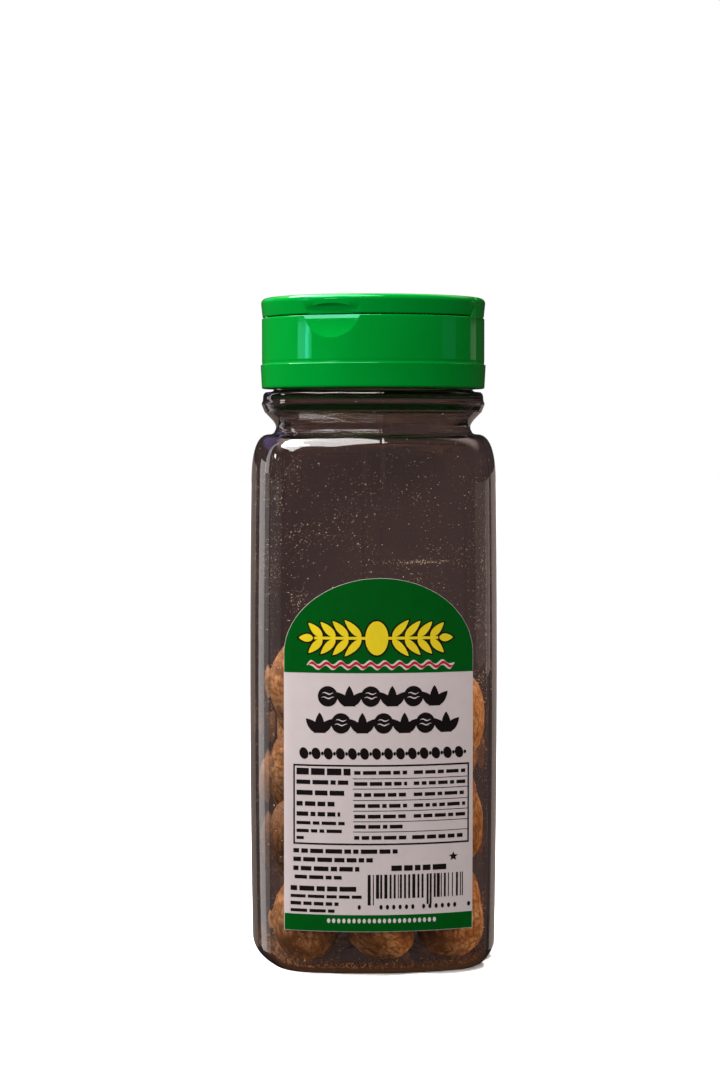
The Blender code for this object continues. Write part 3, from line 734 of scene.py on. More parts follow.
printPlan = {
    "seed": 5, "seedRowZ": 57.0, "seedPitch": 3.03,
    "tableSides": ((-21.7, 23.0, 53.75, 54.2), (-21.7, 23.0, 33.8, 34.25),
                   (-21.7, -21.3, 33.8, 54.2), (22.6, 23.0, 33.8, 54.2)),
    "tableRules": (50.7, 48.1, 45.2, 42.5, 39.8, 37.2),
    # rows of the table's left part: height, thickness, right end
    "tableLeft": ((52.4, 1.7, -7.4), (49.7, 1.1, -7.6), (47.0, 1.25, -9.0), (44.2, 1.15, -11.4),
                  (41.6, 1.1, -10.0), (39.3, 0.85, -8.2), (37.3, 0.85, -8.6), (35.5, 0.8, -18.4)),
    "tableRight": (52.2, 49.4, 46.6, 43.8, 41.1, 38.5, 35.7),
    # rows under the table: left end, right end, height, thickness
    "lines": ((-21.7, 4.5, 32.2, 1.1), (-21.7, -1.8, 30.0, 1.1), (-21.7, -5.2, 27.7, 1.15),
              (-21.4, -9.6, 25.5, 0.95), (-22.4, -5.2, 22.6, 1.25), (-22.4, -4.6, 20.6, 0.8),
              (-22.4, -10.4, 18.75, 0.9), (-22.4, -11.4, 16.95, 0.8), (2.9, 17.3, 27.9, 1.4)),
    "stripe": 0.264, "stripeLeft": -3.1, "stripeRight": 22.1, "stripeTop": 26.3,
    "stripeFoot": 20.2, "longFoot": 18.5, "longStripes": (0, 1, 14, 15, 28, 29),
    "dotZ": 18.0, "dotPitch": 1.62, "dotGroups": (0.3, 11.2), "endDots": (-5.2, 23.0),
}


def stripes(draw):
    # upright stripes of uneven width, in no code
    plan = printPlan
    inks, x = [], plan["stripeLeft"]
    while x < plan["stripeRight"] - 0.2:
        wide = draw.choice((1, 1, 2, 2, 3)) * plan["stripe"]
        foot = plan["longFoot"] if len(inks) in plan["longStripes"] else plan["stripeFoot"]
        inks.append((barOutline(x, min(x + wide, plan["stripeRight"]), foot, plan["stripeTop"]), 0))
        x += wide + draw.choice((1, 1, 2, 3)) * plan["stripe"]
    return inks


def blackPrint():
    plan, tight = printPlan, (0.6, 1.1, 3.4)
    draw = random.Random(plan["seed"])
    inks = [(rim, 1) for _, rim in sprigShapes()]
    inks += [(shape, 0) for shape in headingShapes()[0]]
    x = -20.0
    while x < 20.4:                                  # a row of small seeds
        inks.append((ovalOutline(x + 0.95, plan["seedRowZ"], 1.12, 1.5, 14, steps=16), 0))
        inks.append((ovalOutline(x + 2.5, plan["seedRowZ"], 0.36, 0.5, steps=10), 0))
        x += plan["seedPitch"]
    inks += [(barOutline(*side), 0) for side in plan["tableSides"]]
    inks += [(barOutline(-6.8, 22.6, z - 0.09, z + 0.09), 0) for z in plan["tableRules"]]
    for z, height, end in plan["tableLeft"]:
        inks += wordBars(draw, -20.9, end, z, height)
    for z in plan["tableRight"]:
        inks += wordBars(draw, -6.5, 6.9, z, 0.95, *tight)
        if z > 40:
            inks += wordBars(draw, 8.6, 22.0, z, 0.9, *tight)
    inks += wordBars(draw, 8.2, 22.0, plan["tableRight"][-1], 1.0, *tight)
    for x0, x1, z, height in plan["lines"]:
        inks += wordBars(draw, x0, x1, z, height)
    inks.append((starOutline(18.9, 30.4, 1.25), 0))
    inks += stripes(draw)
    dots = [left + plan["dotPitch"] * step for left in plan["dotGroups"] for step in range(6)]
    first, last = plan["endDots"]
    for x in (first, *dots, last):
        inks.append((ovalOutline(x, plan["dotZ"], 0.42, 0.62, steps=12), 0))
    return inks


def yellowPrint():
    return [(shape, 2) for shape, _ in sprigShapes()]


def redPrint():
    return [(waveOutline(-18.0, 18.8, 79.4, 0.55, 3.7, 0.75), 2)]


def whitePrint():
    inks = [(waveOutline(-18.3, 19.1, 79.4, 0.55, 3.7, 1.45), 1)]
    inks += [(shape, 1) for shape in headingShapes()[1]]
    for step in range(22):
        inks.append((ovalOutline(-12.9 + 1.28 * step, 14.5, 0.42, 0.62, steps=12), 1))
    return inks


def paperSheet():
    columns, rows = 60, 70
    footZ = labelSize["footZ"]
    build = bmesh.new()
    layers = []
    for off in (labelSize["faceOff"], labelSize["backOff"]):
        grid = []
        for column in range(columns + 1):
            turn = math.pi * (column / columns - 0.5)
            x = labelSize["half"] * math.sin(turn)
            top = labelSize["springZ"] + labelSize["arch"] * math.cos(turn)
            grid.append([build.verts.new(labelPoint(x, footZ + (top - footZ) * row / rows, off))
                         for row in range(rows + 1)])
        layers.append(grid)
    front, back = layers
    for column in range(columns):
        for row in range(rows):
            for grid in layers:
                build.faces.new((grid[column][row], grid[column + 1][row],
                                 grid[column + 1][row + 1], grid[column][row + 1]))
        for row in (0, rows):
            build.faces.new((front[column][row], front[column + 1][row],
                             back[column + 1][row], back[column][row]))
    for row in range(rows):
        for column in (0, columns):
            build.faces.new((front[column][row], front[column][row + 1],
                             back[column][row + 1], back[column][row]))
    bmesh.ops.recalc_face_normals(build, faces=build.faces)
    for face in build.faces:                         # the glued side takes the second finish, a dark brown-grey that is painted shade
        face.material_index = 1 if face.normal.y > 0.3 else 0
    return meshOf("labelPaper", build)


def printedFinish(name, colour, shade, smooth=0.33, dull=0.46, gloss=0.22):
    # coated paper or ink on it: a slight mottle, fine fibres and an uneven sheen
    material, shader = newMaterial(name)
    place = objectPlace(material)
    mottle = noiseOf(material, place, 240.0, detail=5.0, roughness=0.6)
    darker = tuple(part * shade for part in colour)
    link(material, rampOf(material, mottle, [(0.3, darker), (0.7, colour)]), shader.inputs["Base Color"])
    sheen = noiseOf(material, place, 40.0, detail=3.0)
    link(material, rangeOf(material, sheen, smooth, dull), shader.inputs["Roughness"])
    fibre = noiseOf(material, place, 700.0, detail=3.0, stretch=(0.35, 1.0, 1.0))
    bumpOf(material, shader, fibre, 0.12, 0.00004)
    shader.inputs["Specular IOR Level"].default_value = gloss
    return material


def buildLabel():
    inkLook = {
        # the label's back is a dark brown-grey: painted shade, not the paper's own colour
        "paper": (0.62, 0.55, 0.555), "glue": (0.13, 0.10, 0.09),
        "green": (0.0, 0.088, 0.007), "black": (0.010, 0.007, 0.007),
        "yellow": (0.80, 0.62, 0.015), "red": (0.50, 0.012, 0.018), "white": (0.66, 0.60, 0.60),
    }
    paper = addPiece("labelPaper", paperSheet(), printedFinish("labelPaper", inkLook["paper"], 0.94),
                     "jar", smoothAngle=30)
    # second finish for the label's back: painted shade
    paper.data.materials.append(printedFinish("labelGlue", inkLook["glue"], 0.8, 0.5, 0.7))
    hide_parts("label")
    for name, inks in (("green", greenPrint()), ("black", blackPrint()), ("yellow", yellowPrint()),
                       ("red", redPrint()), ("white", whitePrint())):
        build = bmesh.new()
        for outline, layer in inks:
            inkPatch(build, outline, layer)
        mesh = meshOf(name + "Ink", build)
        gloss = 0.08 if name in ("green", "black") else 0.22
        finish = printedFinish(name + "Ink", inkLook[name], 0.88, gloss=gloss)
        addPiece(name + "Ink", mesh, finish, "jar")
        print(name, "ink:", len(inks), "shapes,", len(mesh.polygons), "faces")


buildLabel()


fillSize = {
    "count": 16, "seed": 11, "radius": (8.8, 10.1), "stretch": (1.8, 3.0), "clearance": 0.25,
    # nutmegs that lie against the walls: x, y, z, turn, rise, radius, tone
    "wall": ((-19.7, -14.4, 71.0, 70, 38, 9.7, 0.6), (-19.9, -14.2, 51.0, 60, -40, 9.3, 0.5),
             (-20.6, -8.0, 33.4, 100, 10, 9.2, 0.05), (-20.0, -19.2, 12.6, 60, 40, 9.2, 0.6),
             (22.0, -5.0, 62.6, 100, -50, 9.8, 0.9), (22.0, -4.0, 36.0, 85, 10, 9.4, 0.7),
             (20.2, -18.6, 11.8, 70, 25, 9.3, 0.95), (1.6, -20.6, 10.0, 20, -25, 8.6, 0.75),
             (22.0, -0.5, 15.0, 85, 10, 9.0, 0.9), (22.0, 11.0, 27.5, 80, 30, 9.4, 0.3),
             (22.0, 10.0, 50.0, 95, -30, 9.5, 0.4), (-22.0, 9.0, 24.0, 95, -20, 9.4, 0.2)),
}


def startingNutmegs():
    draw = random.Random(fillSize["seed"])
    loose = []
    for x, y, z, turn, rise, radius, _ in fillSize["wall"]:
        turn, rise = math.radians(turn), math.radians(rise)
        axis = (math.cos(turn) * math.cos(rise), math.sin(turn) * math.cos(rise), math.sin(rise))
        loose.append((np.array((x, y, z), dtype=float) * mm, np.array(axis), radius * mm, 2.3 * mm, True))
    for step in range(fillSize["count"]):
        angle = step * 2.4 + draw.uniform(-0.3, 0.3)
        height = (14 + 21 * (step // 5)) * mm + draw.uniform(0, 4 * mm)
        middle = np.array((9 * mm * math.cos(angle), (6 + 10 * math.sin(angle)) * mm, height))
        axis = np.array([draw.gauss(0, 1) for _ in range(3)])
        axis /= np.linalg.norm(axis)
        low, high = fillSize["radius"]
        radius = draw.uniform(low * mm, high * mm)
        low, high = fillSize["stretch"]
        loose.append((middle, axis, radius, draw.uniform(low * mm, high * mm), False))
    return loose


def jarFloor(distance):
    dome = np.maximum(1 - distance / mm / domeRadius(), 0.0)
    return (jarSize["baseThickness"] + jarSize["pushUp"] * dome + 0.4) * mm


def keepInside(ends, radius):
    panel = (jarSize["panelRadius"] - jarSize["wall"] - fillSize["clearance"]) * mm
    half = sectionHalf(ends[:, 2] / mm) - jarSize["wall"] - fillSize["clearance"]
    centre = half * mm - panel
    limit = panel - radius
    for axis, side in ((0, 1), (0, -1), (1, 1), (1, -1)):
        other = 1 - axis
        out = side * ends[:, axis] - centre
        size = np.hypot(out, ends[:, other])
        over = np.where(size > limit, limit / size, 1.0)
        ends[:, axis] = side * (out * over + centre)
        ends[:, other] *= over
    floor = jarFloor(np.hypot(ends[:, 0], ends[:, 1]))
    ends[:, 2] = np.maximum(ends[:, 2], floor + radius)


def packNutmegs():
    # each nutmeg is two balls on a short stick while it settles into the jar
    loose = startingNutmegs()
    ends = np.array([point for middle, axis, _, stick, _ in loose
                     for point in (middle - axis * stick, middle + axis * stick)])
    home = ends.copy()
    radius = np.repeat([nut[2] for nut in loose], 2)
    length = np.array([nut[3] for nut in loose]) * 2
    kept = np.repeat([nut[4] for nut in loose], 2)
    owner = np.repeat(np.arange(len(loose)), 2)
    first, second = np.triu_indices(len(ends), 1)
    apart = owner[first] != owner[second]
    first, second = first[apart], second[apart]
    reach = radius[first] + radius[second]
    rounds = 1200
    for turn in range(rounds):
        ends[~kept, 2] -= 0.12 * mm * (1 - turn / rounds)
        ends[kept] += (home[kept] - ends[kept]) * 0.12 * (1 - turn / rounds)
        for _ in range(3):
            gap = ends[second] - ends[first]
            size = np.linalg.norm(gap, axis=1) + 1e-12
            push = np.clip(reach - size, 0, None)[:, None] * gap / size[:, None] * 0.3
            np.subtract.at(ends, first, push)
            np.add.at(ends, second, push)
            stick = ends[1::2] - ends[0::2]
            size = np.linalg.norm(stick, axis=1)
            fix = stick * ((size - length) / size)[:, None] / 2
            ends[0::2] += fix
            ends[1::2] -= fix
            keepInside(ends, radius)
    nutmegs = []
    for number, (_, _, size, stick, _) in enumerate(loose):
        low, high = ends[2 * number], ends[2 * number + 1]
        nutmegs.append(((low + high) / 2, (high - low) / np.linalg.norm(high - low), size, stick))
    return nutmegs


nutLook = {
    "cuts": 23,                       # steps along each side of the starting cube
    "furrow": 0.19, "lump": 0.55,     # depth of the furrows and of the slow lumps
    "cells": 0.60, "along": 0.38,     # furrow cells per mm across, and how far they stretch lengthwise
    "groove": 0.45,                   # the long groove down one side
}


def ballGrid():
    build = bmesh.new()
    bmesh.ops.create_cube(build, size=2.0)
    bmesh.ops.subdivide_edges(build, edges=build.edges[:], cuts=nutLook["cuts"], use_grid_fill=True)
    build.verts.ensure_lookup_table()
    places = []
    for vert in build.verts:
        spread = Vector([math.tan(part * math.pi / 4) for part in vert.co])
        places.append(spread.normalized())
    faces = [[vert.index for vert in face.verts] for face in build.faces]
    build.free()
    return places, faces


def smoothStep(low, high, value):
    share = min(max((value - low) / (high - low), 0.0), 1.0)
    return share * share * (3 - 2 * share)


def nutmegShape(places, radius, stick, seed):
    # points in the nutmeg's own frame (long axis Z, mm), with how open each point is: 0 deep in a furrow
    longHalf = radius + stick
    shift = Vector((seed * 13.7, seed * 7.1, seed * 3.3))
    look = nutLook
    points, opens = [], []
    for way in places:
        blunt = 1.0 - 0.05 * way.z            # one end a little fuller
        size = 1.0 / math.sqrt((way.x ** 2 + way.y ** 2) / (radius * blunt) ** 2 + way.z ** 2 / longHalf ** 2)
        base = way * size
        slow = noise.noise(base * 0.13 + shift)
        wrinkled = smoothStep(-0.25, 0.35, noise.noise(base * 0.09 - shift) + 0.35 * way.z)
        warp = noise.noise_vector(base * 0.22 + shift) * 0.9
        cell = (base + warp) * look["cells"]
        cell.z *= look["along"]
        near = noise.voronoi(cell + shift)[0]
        edge = smoothStep(0.0, 0.26, near[1] - near[0])
        fine = abs(noise.noise(Vector((cell.x * 2.6, cell.y * 2.6, cell.z * 2.2)) + shift))
        fineEdge = smoothStep(0.0, 0.22, fine)
        deep = look["furrow"] * (0.25 + 0.75 * wrinkled)
        drop = deep * (1 - edge) + deep * 0.45 * (1 - fineEdge)
        side = math.atan2(way.y, way.x)
        drop += look["groove"] * math.exp(-(side / 0.16) ** 2) * smoothStep(1.0, 0.7, abs(way.z))
        eye = math.exp(-((1 - way.z) / 0.05) ** 2)       # the sunken scar at the full end
        rim = math.exp(-((1 - way.z - 0.10) / 0.05) ** 2)
        drop += 0.55 * eye - 0.18 * rim
        size += look["lump"] * (slow - 0.35) - drop
        points.append(way * size)
        opens.append(min(edge, 0.35 + 0.65 * fineEdge) * (1 - 0.5 * math.exp(-(side / 0.12) ** 2)))
    return points, opens


def attributeOf(material, name):
    own = addNode(material, "ShaderNodeAttribute")
    own.attribute_name = name
    return own


def nutmegShell():
    look = {
        "furrow": (0.16, 0.066, 0.021), "skin": (0.42, 0.18, 0.060), "powder": (0.57, 0.32, 0.155),
        "stain": (0.20, 0.072, 0.019), "veinDark": 0.42, "veinShare": 0.55, "dry": 0.78, "worn": 0.58,
        # from the darkest nutmeg to the lightest
        "tones": [(0.0, (0.42, 0.40, 0.38)), (0.5, (0.80, 0.78, 0.75)), (1.0, (1.12, 1.1, 1.06))],
    }
    material, shader = newMaterial("nutmegShell")
    place = attributeOf(material, "ownPlace").outputs["Vector"]
    opened = attributeOf(material, "open").outputs["Fac"]
    tone = attributeOf(material, "tone").outputs["Fac"]

    patches = noiseOf(material, place, 0.16, detail=5.0, roughness=0.62)
    skin = rampOf(material, patches, [(0.36, look["stain"]), (0.47, look["skin"]), (0.66, look["powder"])])
    veins = noiseOf(material, place, 1.5, detail=4.0, roughness=0.6, stretch=(1.0, 1.0, 0.35))
    veinDark = rampOf(material, veins, [(0.38, look["veinDark"]), (0.56, 1.0)])
    skin = mixOf(material, skin, veinDark, look["veinShare"], "MULTIPLY")
    skin = mixOf(material, look["furrow"], skin, rangeOf(material, opened, 0.0, 1.0, 0.05, 0.75))
    skin = mixOf(material, skin, rampOf(material, tone, look["tones"]), 1.0, "MULTIPLY")
    link(material, skin, shader.inputs["Base Color"])
    link(material, rangeOf(material, veins, look["dry"], look["worn"]), shader.inputs["Roughness"])
    shader.inputs["Specular IOR Level"].default_value = 0.15

    pores = noiseOf(material, place, 4.5, detail=5.0, roughness=0.7, stretch=(1.0, 1.0, 0.5))
    poreBump = bumpOf(material, shader, pores, 0.55, 0.00022)
    bumpOf(material, shader, veins, 0.6, 0.00045, below=poreBump)
    return material


def axisFrame(axis, spin):
    # turns local Z to the axis, after a spin about it
    return Vector((0, 0, 1)).rotation_difference(Vector(axis)).to_matrix() @ Matrix.Rotation(spin, 3, "Z")


def buildNutmegs():
    places, faces = ballGrid()
    draw = random.Random(23)
    noise.seed_set(23)                # noise_vector draws its offsets from this
    allPoints, allFaces, allOwn, allOpen, allTone = [], [], [], [], []
    for number, (middle, axis, radius, stick) in enumerate(packNutmegs()):
        points, opens = nutmegShape(places, radius / mm, stick / mm, number + 1)
        turn = axisFrame(axis, draw.uniform(0, 2 * math.pi))
        first = len(allPoints)
        shift = Vector((number * 31.0, number * 17.0, 0))
        tone = fillSize["wall"][number][6] if number < len(fillSize["wall"]) else draw.uniform(0.35, 1.0)
        allPoints += [Vector(middle) + turn @ (point * mm) for point in points]
        allOwn += [part for point in points for part in point + shift]
        allOpen += opens
        allTone += [tone] * len(points)
        allFaces += [[first + index for index in face] for face in faces]
    mesh = bpy.data.meshes.new("nutmegs")
    mesh.from_pydata(allPoints, [], allFaces)
    mesh.attributes.new("ownPlace", "FLOAT_VECTOR", "POINT").data.foreach_set("vector", allOwn)
    mesh.attributes.new("open", "FLOAT", "POINT").data.foreach_set("value", allOpen)
    mesh.attributes.new("tone", "FLOAT", "POINT").data.foreach_set("value", allTone)
    shell = nutmegShell()
    fill = addPiece("nutmegFill", mesh, shell, "jar", smoothAngle=180)
    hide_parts("nutmegs")
    print("nutmegs:", len(allFaces) * 2, "triangles")


buildNutmegs()


def buildShadeCore():
    # the dark middle of the heap, which closes the gaps between the nutmegs: a near-black body that is
    # painted shade for the heap's depths
    core = {"low": 6.5, "high": 64.0, "half": 15.5, "panel": 40.0, "corner": 8.0, "lump": 3.0,
            # near-black colours: painted shade between the nutmegs
            "levels": 26, "steps": 48, "dark": (0.010, 0.005, 0.002), "light": (0.060, 0.026, 0.009)}
    rings = []
    for level in range(core["levels"]):
        share = level / (core["levels"] - 1)
        z = core["low"] + (core["high"] - core["low"]) * share
        swell = math.sqrt(max(1 - (2 * share - 1) ** 6, 0.02))
        ring = []
        for step in range(core["steps"]):
            angle = 2 * math.pi * step / core["steps"]
            radius = sectionRadius(angle, core["half"], core["panel"], core["corner"]) * swell
            way = Vector((math.cos(angle), math.sin(angle), 0))
            radius += core["lump"] * noise.noise(way * 1.6 + Vector((0, 0, z / 9.0))) * swell
            ring.append((way * radius + Vector((0, 0, z))) * mm)
        rings.append(ring)
    mesh = meshFromRings("nutmegCore", rings, firstPoint=Vector((0, 0, core["low"] - 0.6)) * mm,
                         lastPoint=Vector((0, 0, core["high"] + 0.6)) * mm)
    material, shader = newMaterial("nutmegCore")
    grain = noiseOf(material, objectPlace(material), 420.0, detail=5.0)
    link(material, rampOf(material, grain, [(0.35, core["dark"]), (0.7, core["light"])]),
         shader.inputs["Base Color"])
    shader.inputs["Roughness"].default_value = 0.85
    shader.inputs["Specular IOR Level"].default_value = 0.1
    bumpOf(material, shader, grain, 0.6, 0.0006)
    addPiece("nutmegCore", mesh, material, "jar", smoothAngle=180)


buildShadeCore()


dustSize = {
    "seed": 41, "specks": 8500, "size": (0.05, 0.20), "low": 4.0, "high": 136.0,
    "clusters": 70, "clusterShare": 0.45, "clusterSpread": (1.2, 6.0), "clusterZ": (60, 132),
    "lineShare": 0.03, "lineZ": 105.2, "lineAngle": -1.31,    # a level line that the heap once left in front
    "crumbs": 3400, "crumbSize": (0.12, 0.5), "crumbRise": 2.6, "crumbReach": 4.5,
    "dustPale": (0.95, 0.76, 0.55), "dustDark": (0.60, 0.39, 0.21),
    "crumbPale": (0.46, 0.20, 0.065), "crumbDark": (0.07, 0.028, 0.010),
}


def innerWall(angle, z, off):
    inset, heel = jarSize["wall"] + off, jarSize["heelRadius"] - jarSize["wall"]
    panel, corner = jarSize["panelRadius"] - inset, jarSize["cornerRadius"]
    if z > jarSize["shoulderFootZ"]:
        rise = (z - jarSize["shoulderFootZ"]) / (jarSize["shoulderTopZ"] - jarSize["shoulderFootZ"])
        turn = math.asin(min(rise, 0.98) ** (jarSize["shoulderPower"] / 2))
        pull = 1 - math.cos(turn) ** (2 / jarSize["shoulderPower"])
        footHalf = sectionHalf(jarSize["shoulderFootZ"])
        half = footHalf + (jarSize["shoulderTopRadius"] - footHalf) * pull - inset
        return min(sectionRadius(angle, half, panel, corner), half * 1.3)
    lift = min(max((jarSize["baseThickness"] + heel - z) / heel, 0.0), 1.0)
    back = heel * (1 - math.sqrt(1 - lift * lift))
    return sectionRadius(angle, sectionHalf(z) - inset - back, panel - back, corner - inset)


def addFleck(build, middle, size, draw, flat):
    # a little uneven double pyramid: of three sides for dust, of four for crumbs
    sides = 4 if size > dustSize["size"][1] else 3
    turn = Euler([draw.uniform(0, 6.28) for _ in range(3)]).to_matrix()
    reach = [size * draw.uniform(0.55, 1.35), size * draw.uniform(0.55, 1.1),
             size * draw.uniform(0.3, 1.0) * flat]
    ways = [(x, y, 0) for x, y in circle(0.0, 0.0, 1.0, sides)] + [(0, 0, 1), (0, 0, -1)]
    corner = [build.verts.new(middle + turn @ Vector([part * far * mm for part, far in zip(way, reach)]))
              for way in ways]
    for step in range(sides):
        after = (step + 1) % sides
        build.faces.new((corner[step], corner[after], corner[sides]))
        build.faces.new((corner[after], corner[step], corner[sides + 1]))


def fleckFinish(name, pale, dark):
    material, shader = newMaterial(name)
    place = objectPlace(material)
    grain = noiseOf(material, place, 1600.0, detail=2.0)
    link(material, rampOf(material, grain, [(0.35, dark), (0.65, pale)]), shader.inputs["Base Color"])
    link(material, rangeOf(material, grain, 0.45, 0.8), shader.inputs["Roughness"])
    return material


def buildDust():
    size = dustSize
    draw = random.Random(size["seed"])
    build = bmesh.new()
    clusters = [(draw.uniform(-math.pi, math.pi), draw.uniform(*size["clusterZ"]),
                 draw.uniform(*size["clusterSpread"])) for _ in range(size["clusters"])]
    made = 0
    while made < size["specks"]:
        share = draw.random()
        if share < size["lineShare"]:
            angle, z = draw.gauss(size["lineAngle"], 0.22), size["lineZ"] + draw.gauss(0, 0.3)
        elif share < size["clusterShare"]:               # clinging together in loose clouds
            angle, z, spread = clusters[int(len(clusters) * draw.random() ** 1.6)]
            angle += draw.gauss(0, spread) / jarSize["bodyHalf"]
            z += draw.gauss(0, spread)
        else:
            angle = draw.uniform(-math.pi, math.pi)
            z = size["low"] + (size["high"] - size["low"]) * draw.random() ** 1.15
        spot = Vector((math.cos(angle) * 2.2, math.sin(angle) * 2.2, z / 14.0))
        thick = 0.55 + 0.9 * noise.noise(spot) + 0.7 * noise.noise(spot * 4.3)
        if not size["low"] < z < size["high"] or draw.random() > max(thick, 0.04):
            continue
        reach = innerWall(angle, z, 0.06)
        small, large = size["size"]
        fleck = small + (large - small) * draw.random() ** 4
        addFleck(build, Vector((reach * math.cos(angle), reach * math.sin(angle), z)) * mm, fleck, draw, 1.0)
        made += 1
    addPiece("wallDust", meshOf("wallDust", build),
             fleckFinish("nutmegDust", size["dustPale"], size["dustDark"]), "jar")

    build = bmesh.new()
    for _ in range(size["crumbs"]):
        angle = draw.uniform(-math.pi, math.pi)
        z = jarSize["baseThickness"] + 0.2 + size["crumbRise"] * draw.random() ** 2.5
        reach = innerWall(angle, z, 0.25) - 0.15 - size["crumbReach"] * draw.random() ** 2
        small, large = size["crumbSize"]
        crumb = small + (large - small) * draw.random() ** 3
        addFleck(build, Vector((reach * math.cos(angle), reach * math.sin(angle), z)) * mm, crumb, draw, 0.7)
    addPiece("floorCrumbs", meshOf("floorCrumbs", build),
             fleckFinish("nutmegCrumb", size["crumbPale"], size["crumbDark"]), "jar")
    print("dust:", size["specks"], "specks and", size["crumbs"], "crumbs")


buildDust()


studio = {
    "floorColour": (0.80, 0.79, 0.785),
    "floorLight": 3.6,
    "backdrop": (1.0, 1.0, 1.0),          # what the camera sees behind the jar
    "throughJar": (0.062, 0.040, 0.037),  # what is seen through the clear plastic, in soft blotches
    "throughDark": (0.044, 0.030, 0.029),
    "throughFoot": (0.060, 0.024, 0.010), # and through its foot, down to the table
    "below": (0.05, 0.04, 0.037),         # soft light from below
    "around": (0.52, 0.505, 0.49),        # soft light from the sides and above
    "mirrored": (0.035, 0.028, 0.027),    # what glossy surfaces mirror between the lamps
    "dusk": (0.20, 0.15, 0.38),           # low behind the jar, on its left
    "rearGlow": (1.3, 1.0, 0.92),         # high behind the jar
}


def addToScene(name, data):
    holder = bpy.data.objects.new(name, data)
    bpy.context.scene.collection.objects.link(holder)
    return holder


def lightOnly(holder, pieces):
    lit = bpy.data.collections.new("litBy" + holder.name[0].upper() + holder.name[1:])
    for piece in pieces:
        lit.objects.link(bpy.data.objects[piece])
    holder.light_linking.receiver_collection = lit


def buildStage():
    build = bmesh.new()
    bmesh.ops.create_grid(build, x_segments=24, y_segments=24, size=6.0)
    floor = addToScene("floor", meshOf("floor", build))
    material, shader = newMaterial("floorPaper")
    place = objectPlace(material)
    grain = noiseOf(material, place, 3.0, detail=4.0)
    pale = studio["floorColour"]
    link(material, rampOf(material, grain, [(0.3, tuple(part * 0.985 for part in pale)), (0.7, pale)]),
         shader.inputs["Base Color"])
    shader.inputs["Roughness"].default_value = 0.9
    floor.data.materials.append(material)
    floor.visible_transmission = False
    floor.visible_glossy = False
    floor.visible_diffuse = False


def buildWorld():
    # one plain backdrop for the camera, dim brown surroundings for what the plastic mirrors
    world = bpy.data.worlds.new("studio")
    bpy.context.scene.world = world
    world.use_nodes = True
    path = addNode(world, "ShaderNodeLightPath").outputs
    place = addNode(world, "ShaderNodeTexCoord").outputs["Generated"]
    ways = addNode(world, "ShaderNodeSeparateXYZ")
    link(world, place, ways.inputs["Vector"])
    way = ways.outputs

    def band(value, low, high):
        return rangeOf(world, value, 0.0, 1.0, low, high, "SMOOTHSTEP")

    def over(below, share, colour):
        return mixOf(world, below, colour, share)

    duskArea = productOf(world, band(way["Y"], 0.60, 0.85), band(way["X"], -0.04, -0.30))
    duskArea = productOf(world, band(way["Z"], 0.17, 0.27), duskArea)
    glowArea = productOf(world, band(way["Z"], 0.45, 0.65), band(way["Y"], 0.1, 0.5))
    mirrored = over(over(studio["mirrored"], duskArea, studio["dusk"]), glowArea, studio["rearGlow"])
    soft = over(studio["below"], band(way["Z"], -0.25, 0.15), studio["around"])
    colour = over(soft, path["Is Glossy Ray"], mirrored)
    blotches = addNode(world, "ShaderNodeTexNoise")
    blotches.inputs["Scale"].default_value = 9.0
    blotches.inputs["Detail"].default_value = 1.0
    link(world, place, blotches.inputs["Vector"])
    through = over(studio["throughDark"], band(blotches.outputs["Fac"], 0.40, 0.62), studio["throughJar"])
    through = over(through, band(way["Z"], -0.25, -0.5), studio["throughFoot"])
    undiffused = band(path["Diffuse Depth"], 0.9, 0.1)
    colour = over(colour, productOf(world, path["Is Transmission Ray"], undiffused), through)
    colour = over(colour, path["Is Camera Ray"], studio["backdrop"])
    link(world, colour, world.node_tree.nodes["Background"].inputs["Color"])


def hangLamp(name, place, way, width, height, radiance, colour, unseenBy=(), lights=(), spin=0.0):
    # a rectangle of even radiance; it lights whatever it faces, or only the pieces named
    lamp = bpy.data.lights.new(name, "AREA")
    lamp.shape = "RECTANGLE"
    lamp.size = width
    lamp.size_y = height
    lamp.energy = radiance * math.pi * width * height
    lamp.color = colour
    holder = addToScene(name, lamp)
    holder.location = place
    holder.rotation_mode = "QUATERNION"
    holder.rotation_quaternion = Quaternion((0, 0, 1), math.radians(spin)) @ way.to_track_quat("-Z", "Y")
    holder.visible_camera = False
    for ray in unseenBy:
        setattr(holder, "visible_" + ray, False)
    if lights:
        lightOnly(holder, lights)


def standLamp(name, azimuth, distance, low, high, width, radiance, colour, unseenBy=(), lights=()):
    # azimuth in degrees from the front (-Y) towards +X; low and high are the heights of its edges
    turn = math.radians(azimuth)
    place = Vector((distance * math.sin(turn), -distance * math.cos(turn), (low + high) / 2))
    way = Vector((-place.x, -place.y, 0))
    hangLamp(name, place, way, width, high - low, radiance, colour, unseenBy, lights)


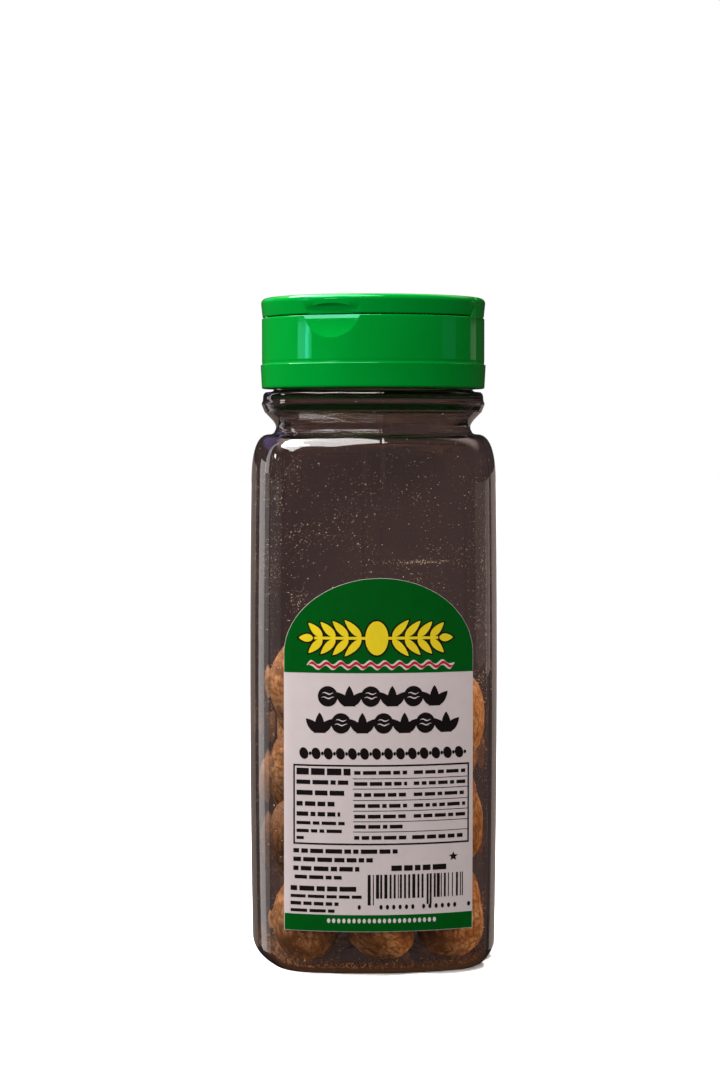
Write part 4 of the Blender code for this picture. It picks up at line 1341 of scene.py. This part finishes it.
def buildLights():
    white, warm, amber = (1.0, 0.965, 0.95), (1.0, 0.80, 0.70), (1.0, 0.76, 0.56)
    sky, blue = (0.35, 0.95, 1.0), (0.45, 0.75, 1.0)
    down = Vector((0, 0, -1))
    through, soft = ("transmission",), ("glossy", "transmission")
    mirror = ("diffuse", "transmission")
    capPieces, jarPieces = ("capSkirt", "frontDoor", "backDoor"), ("jarShell",)
    hangLamp("topSoftbox", Vector((-0.288, -0.004, 0.80)), down, 0.42, 1.13, 11.0, white, through, spin=20)
    hangLamp("leftSoftbox", Vector((-0.525, 0.075, 0.805)), down, 0.39, 0.75, 11.0, white, through)
    # name, azimuth, distance, low, high, width, radiance, colour
    for unseenBy, lights, lamps in (
            (soft, (), (
                ("frontFill", -24, 0.90, 0.33, 0.66, 0.55, 4.4, white),
                ("leftWindow", -100, 0.90, 0.145, 0.75, 0.95, 1.1, white),
                ("rightFill", 78, 0.90, 0.08, 0.55, 0.60, 0.9, warm))),
            (soft, ("nutmegFill",), (
                ("rightNutFill", 70, 0.80, 0.01, 0.35, 0.50, 14.0, amber),
                ("lowNutFill", 14, 0.80, 0.01, 0.12, 0.40, 3.6, amber))),
            (mirror, capPieces, (
                ("leftSheen", -100, 0.90, 0.145, 0.75, 0.95, 1.0, sky),)),
            (through, capPieces, (
                ("leftStrip", -78, 0.90, 0.150, 0.204, 0.27, 3.4, sky),
                ("leftStripCore", -75, 0.89, 0.150, 0.204, 0.06, 5.0, sky),
                ("leftCard", -48, 0.90, 0.286, 0.380, 0.20, 12.0, white))),
            (mirror, capPieces, (
                ("rightStrip", 120.5, 1.02, 0.14, 0.209, 0.23, 0.45, warm),
                ("rightBlue", 79, 1.00, 0.15, 0.212, 0.33, 0.30, blue))),
            (mirror, jarPieces, (
                ("leftGlint", -116, 0.90, 0.42, 0.50, 0.11, 16.0, white),
                ("jarSheen", -100, 0.90, -0.01, 0.145, 0.95, 0.16, (0.85, 0.95, 1.0)),
                ("rearLeftEdge", -145.5, 0.90, -0.25, 0.21, 0.13, 0.95, white),
                ("rearLeftRise", -139.5, 0.90, 0.15, 0.80, 0.09, 1.1, white),
                ("rearLeftBand", -137.5, 0.92, -0.25, 0.15, 0.12, 0.30, white),
                ("rearLeftWall", -166, 0.94, -0.25, 0.15, 0.32, 0.20, warm),
                ("rightSide", 84, 1.00, -0.01, 0.13, 0.80, 0.36, warm),
                ("rightWall", 124, 1.00, -0.02, 0.13, 0.60, 0.48, warm),
                ("rearRightWall", 161, 1.00, -0.25, 0.13, 0.45, 0.28, warm)))):
        for lamp in lamps:
            standLamp(*lamp, unseenBy, lights)


def buildFloorSun():
    # an even light for the floor alone, so that it stays as pale as the backdrop
    sun = bpy.data.lights.new("floorSun", "SUN")
    sun.energy = studio["floorLight"]
    lightOnly(addToScene("floorSun", sun), ("floor",))


def buildCamera():
    view = {"distance": 0.660, "azimuth": -4.3, "height": 0.1385, "lens": 83.4, "down": 2.516, "left": 0.30}
    turn = math.radians(view["azimuth"])
    lens = bpy.data.cameras.new("camera")
    lens.lens = view["lens"]
    lens.sensor_width = 36.0
    lens.sensor_fit = "AUTO"
    lens.clip_start = 0.01
    camera = addToScene("camera", lens)
    camera.location = (view["distance"] * math.sin(turn), -view["distance"] * math.cos(turn), view["height"])
    heading = turn + math.radians(view["left"])
    camera.rotation_euler = (math.radians(90 - view["down"]), 0.0, heading)
    bpy.context.scene.camera = camera


buildStage()
buildWorld()
buildLights()
buildFloorSun()
buildCamera()
bpy.context.scene.view_settings.view_transform = "Standard"
print("stage, lights and camera are set")
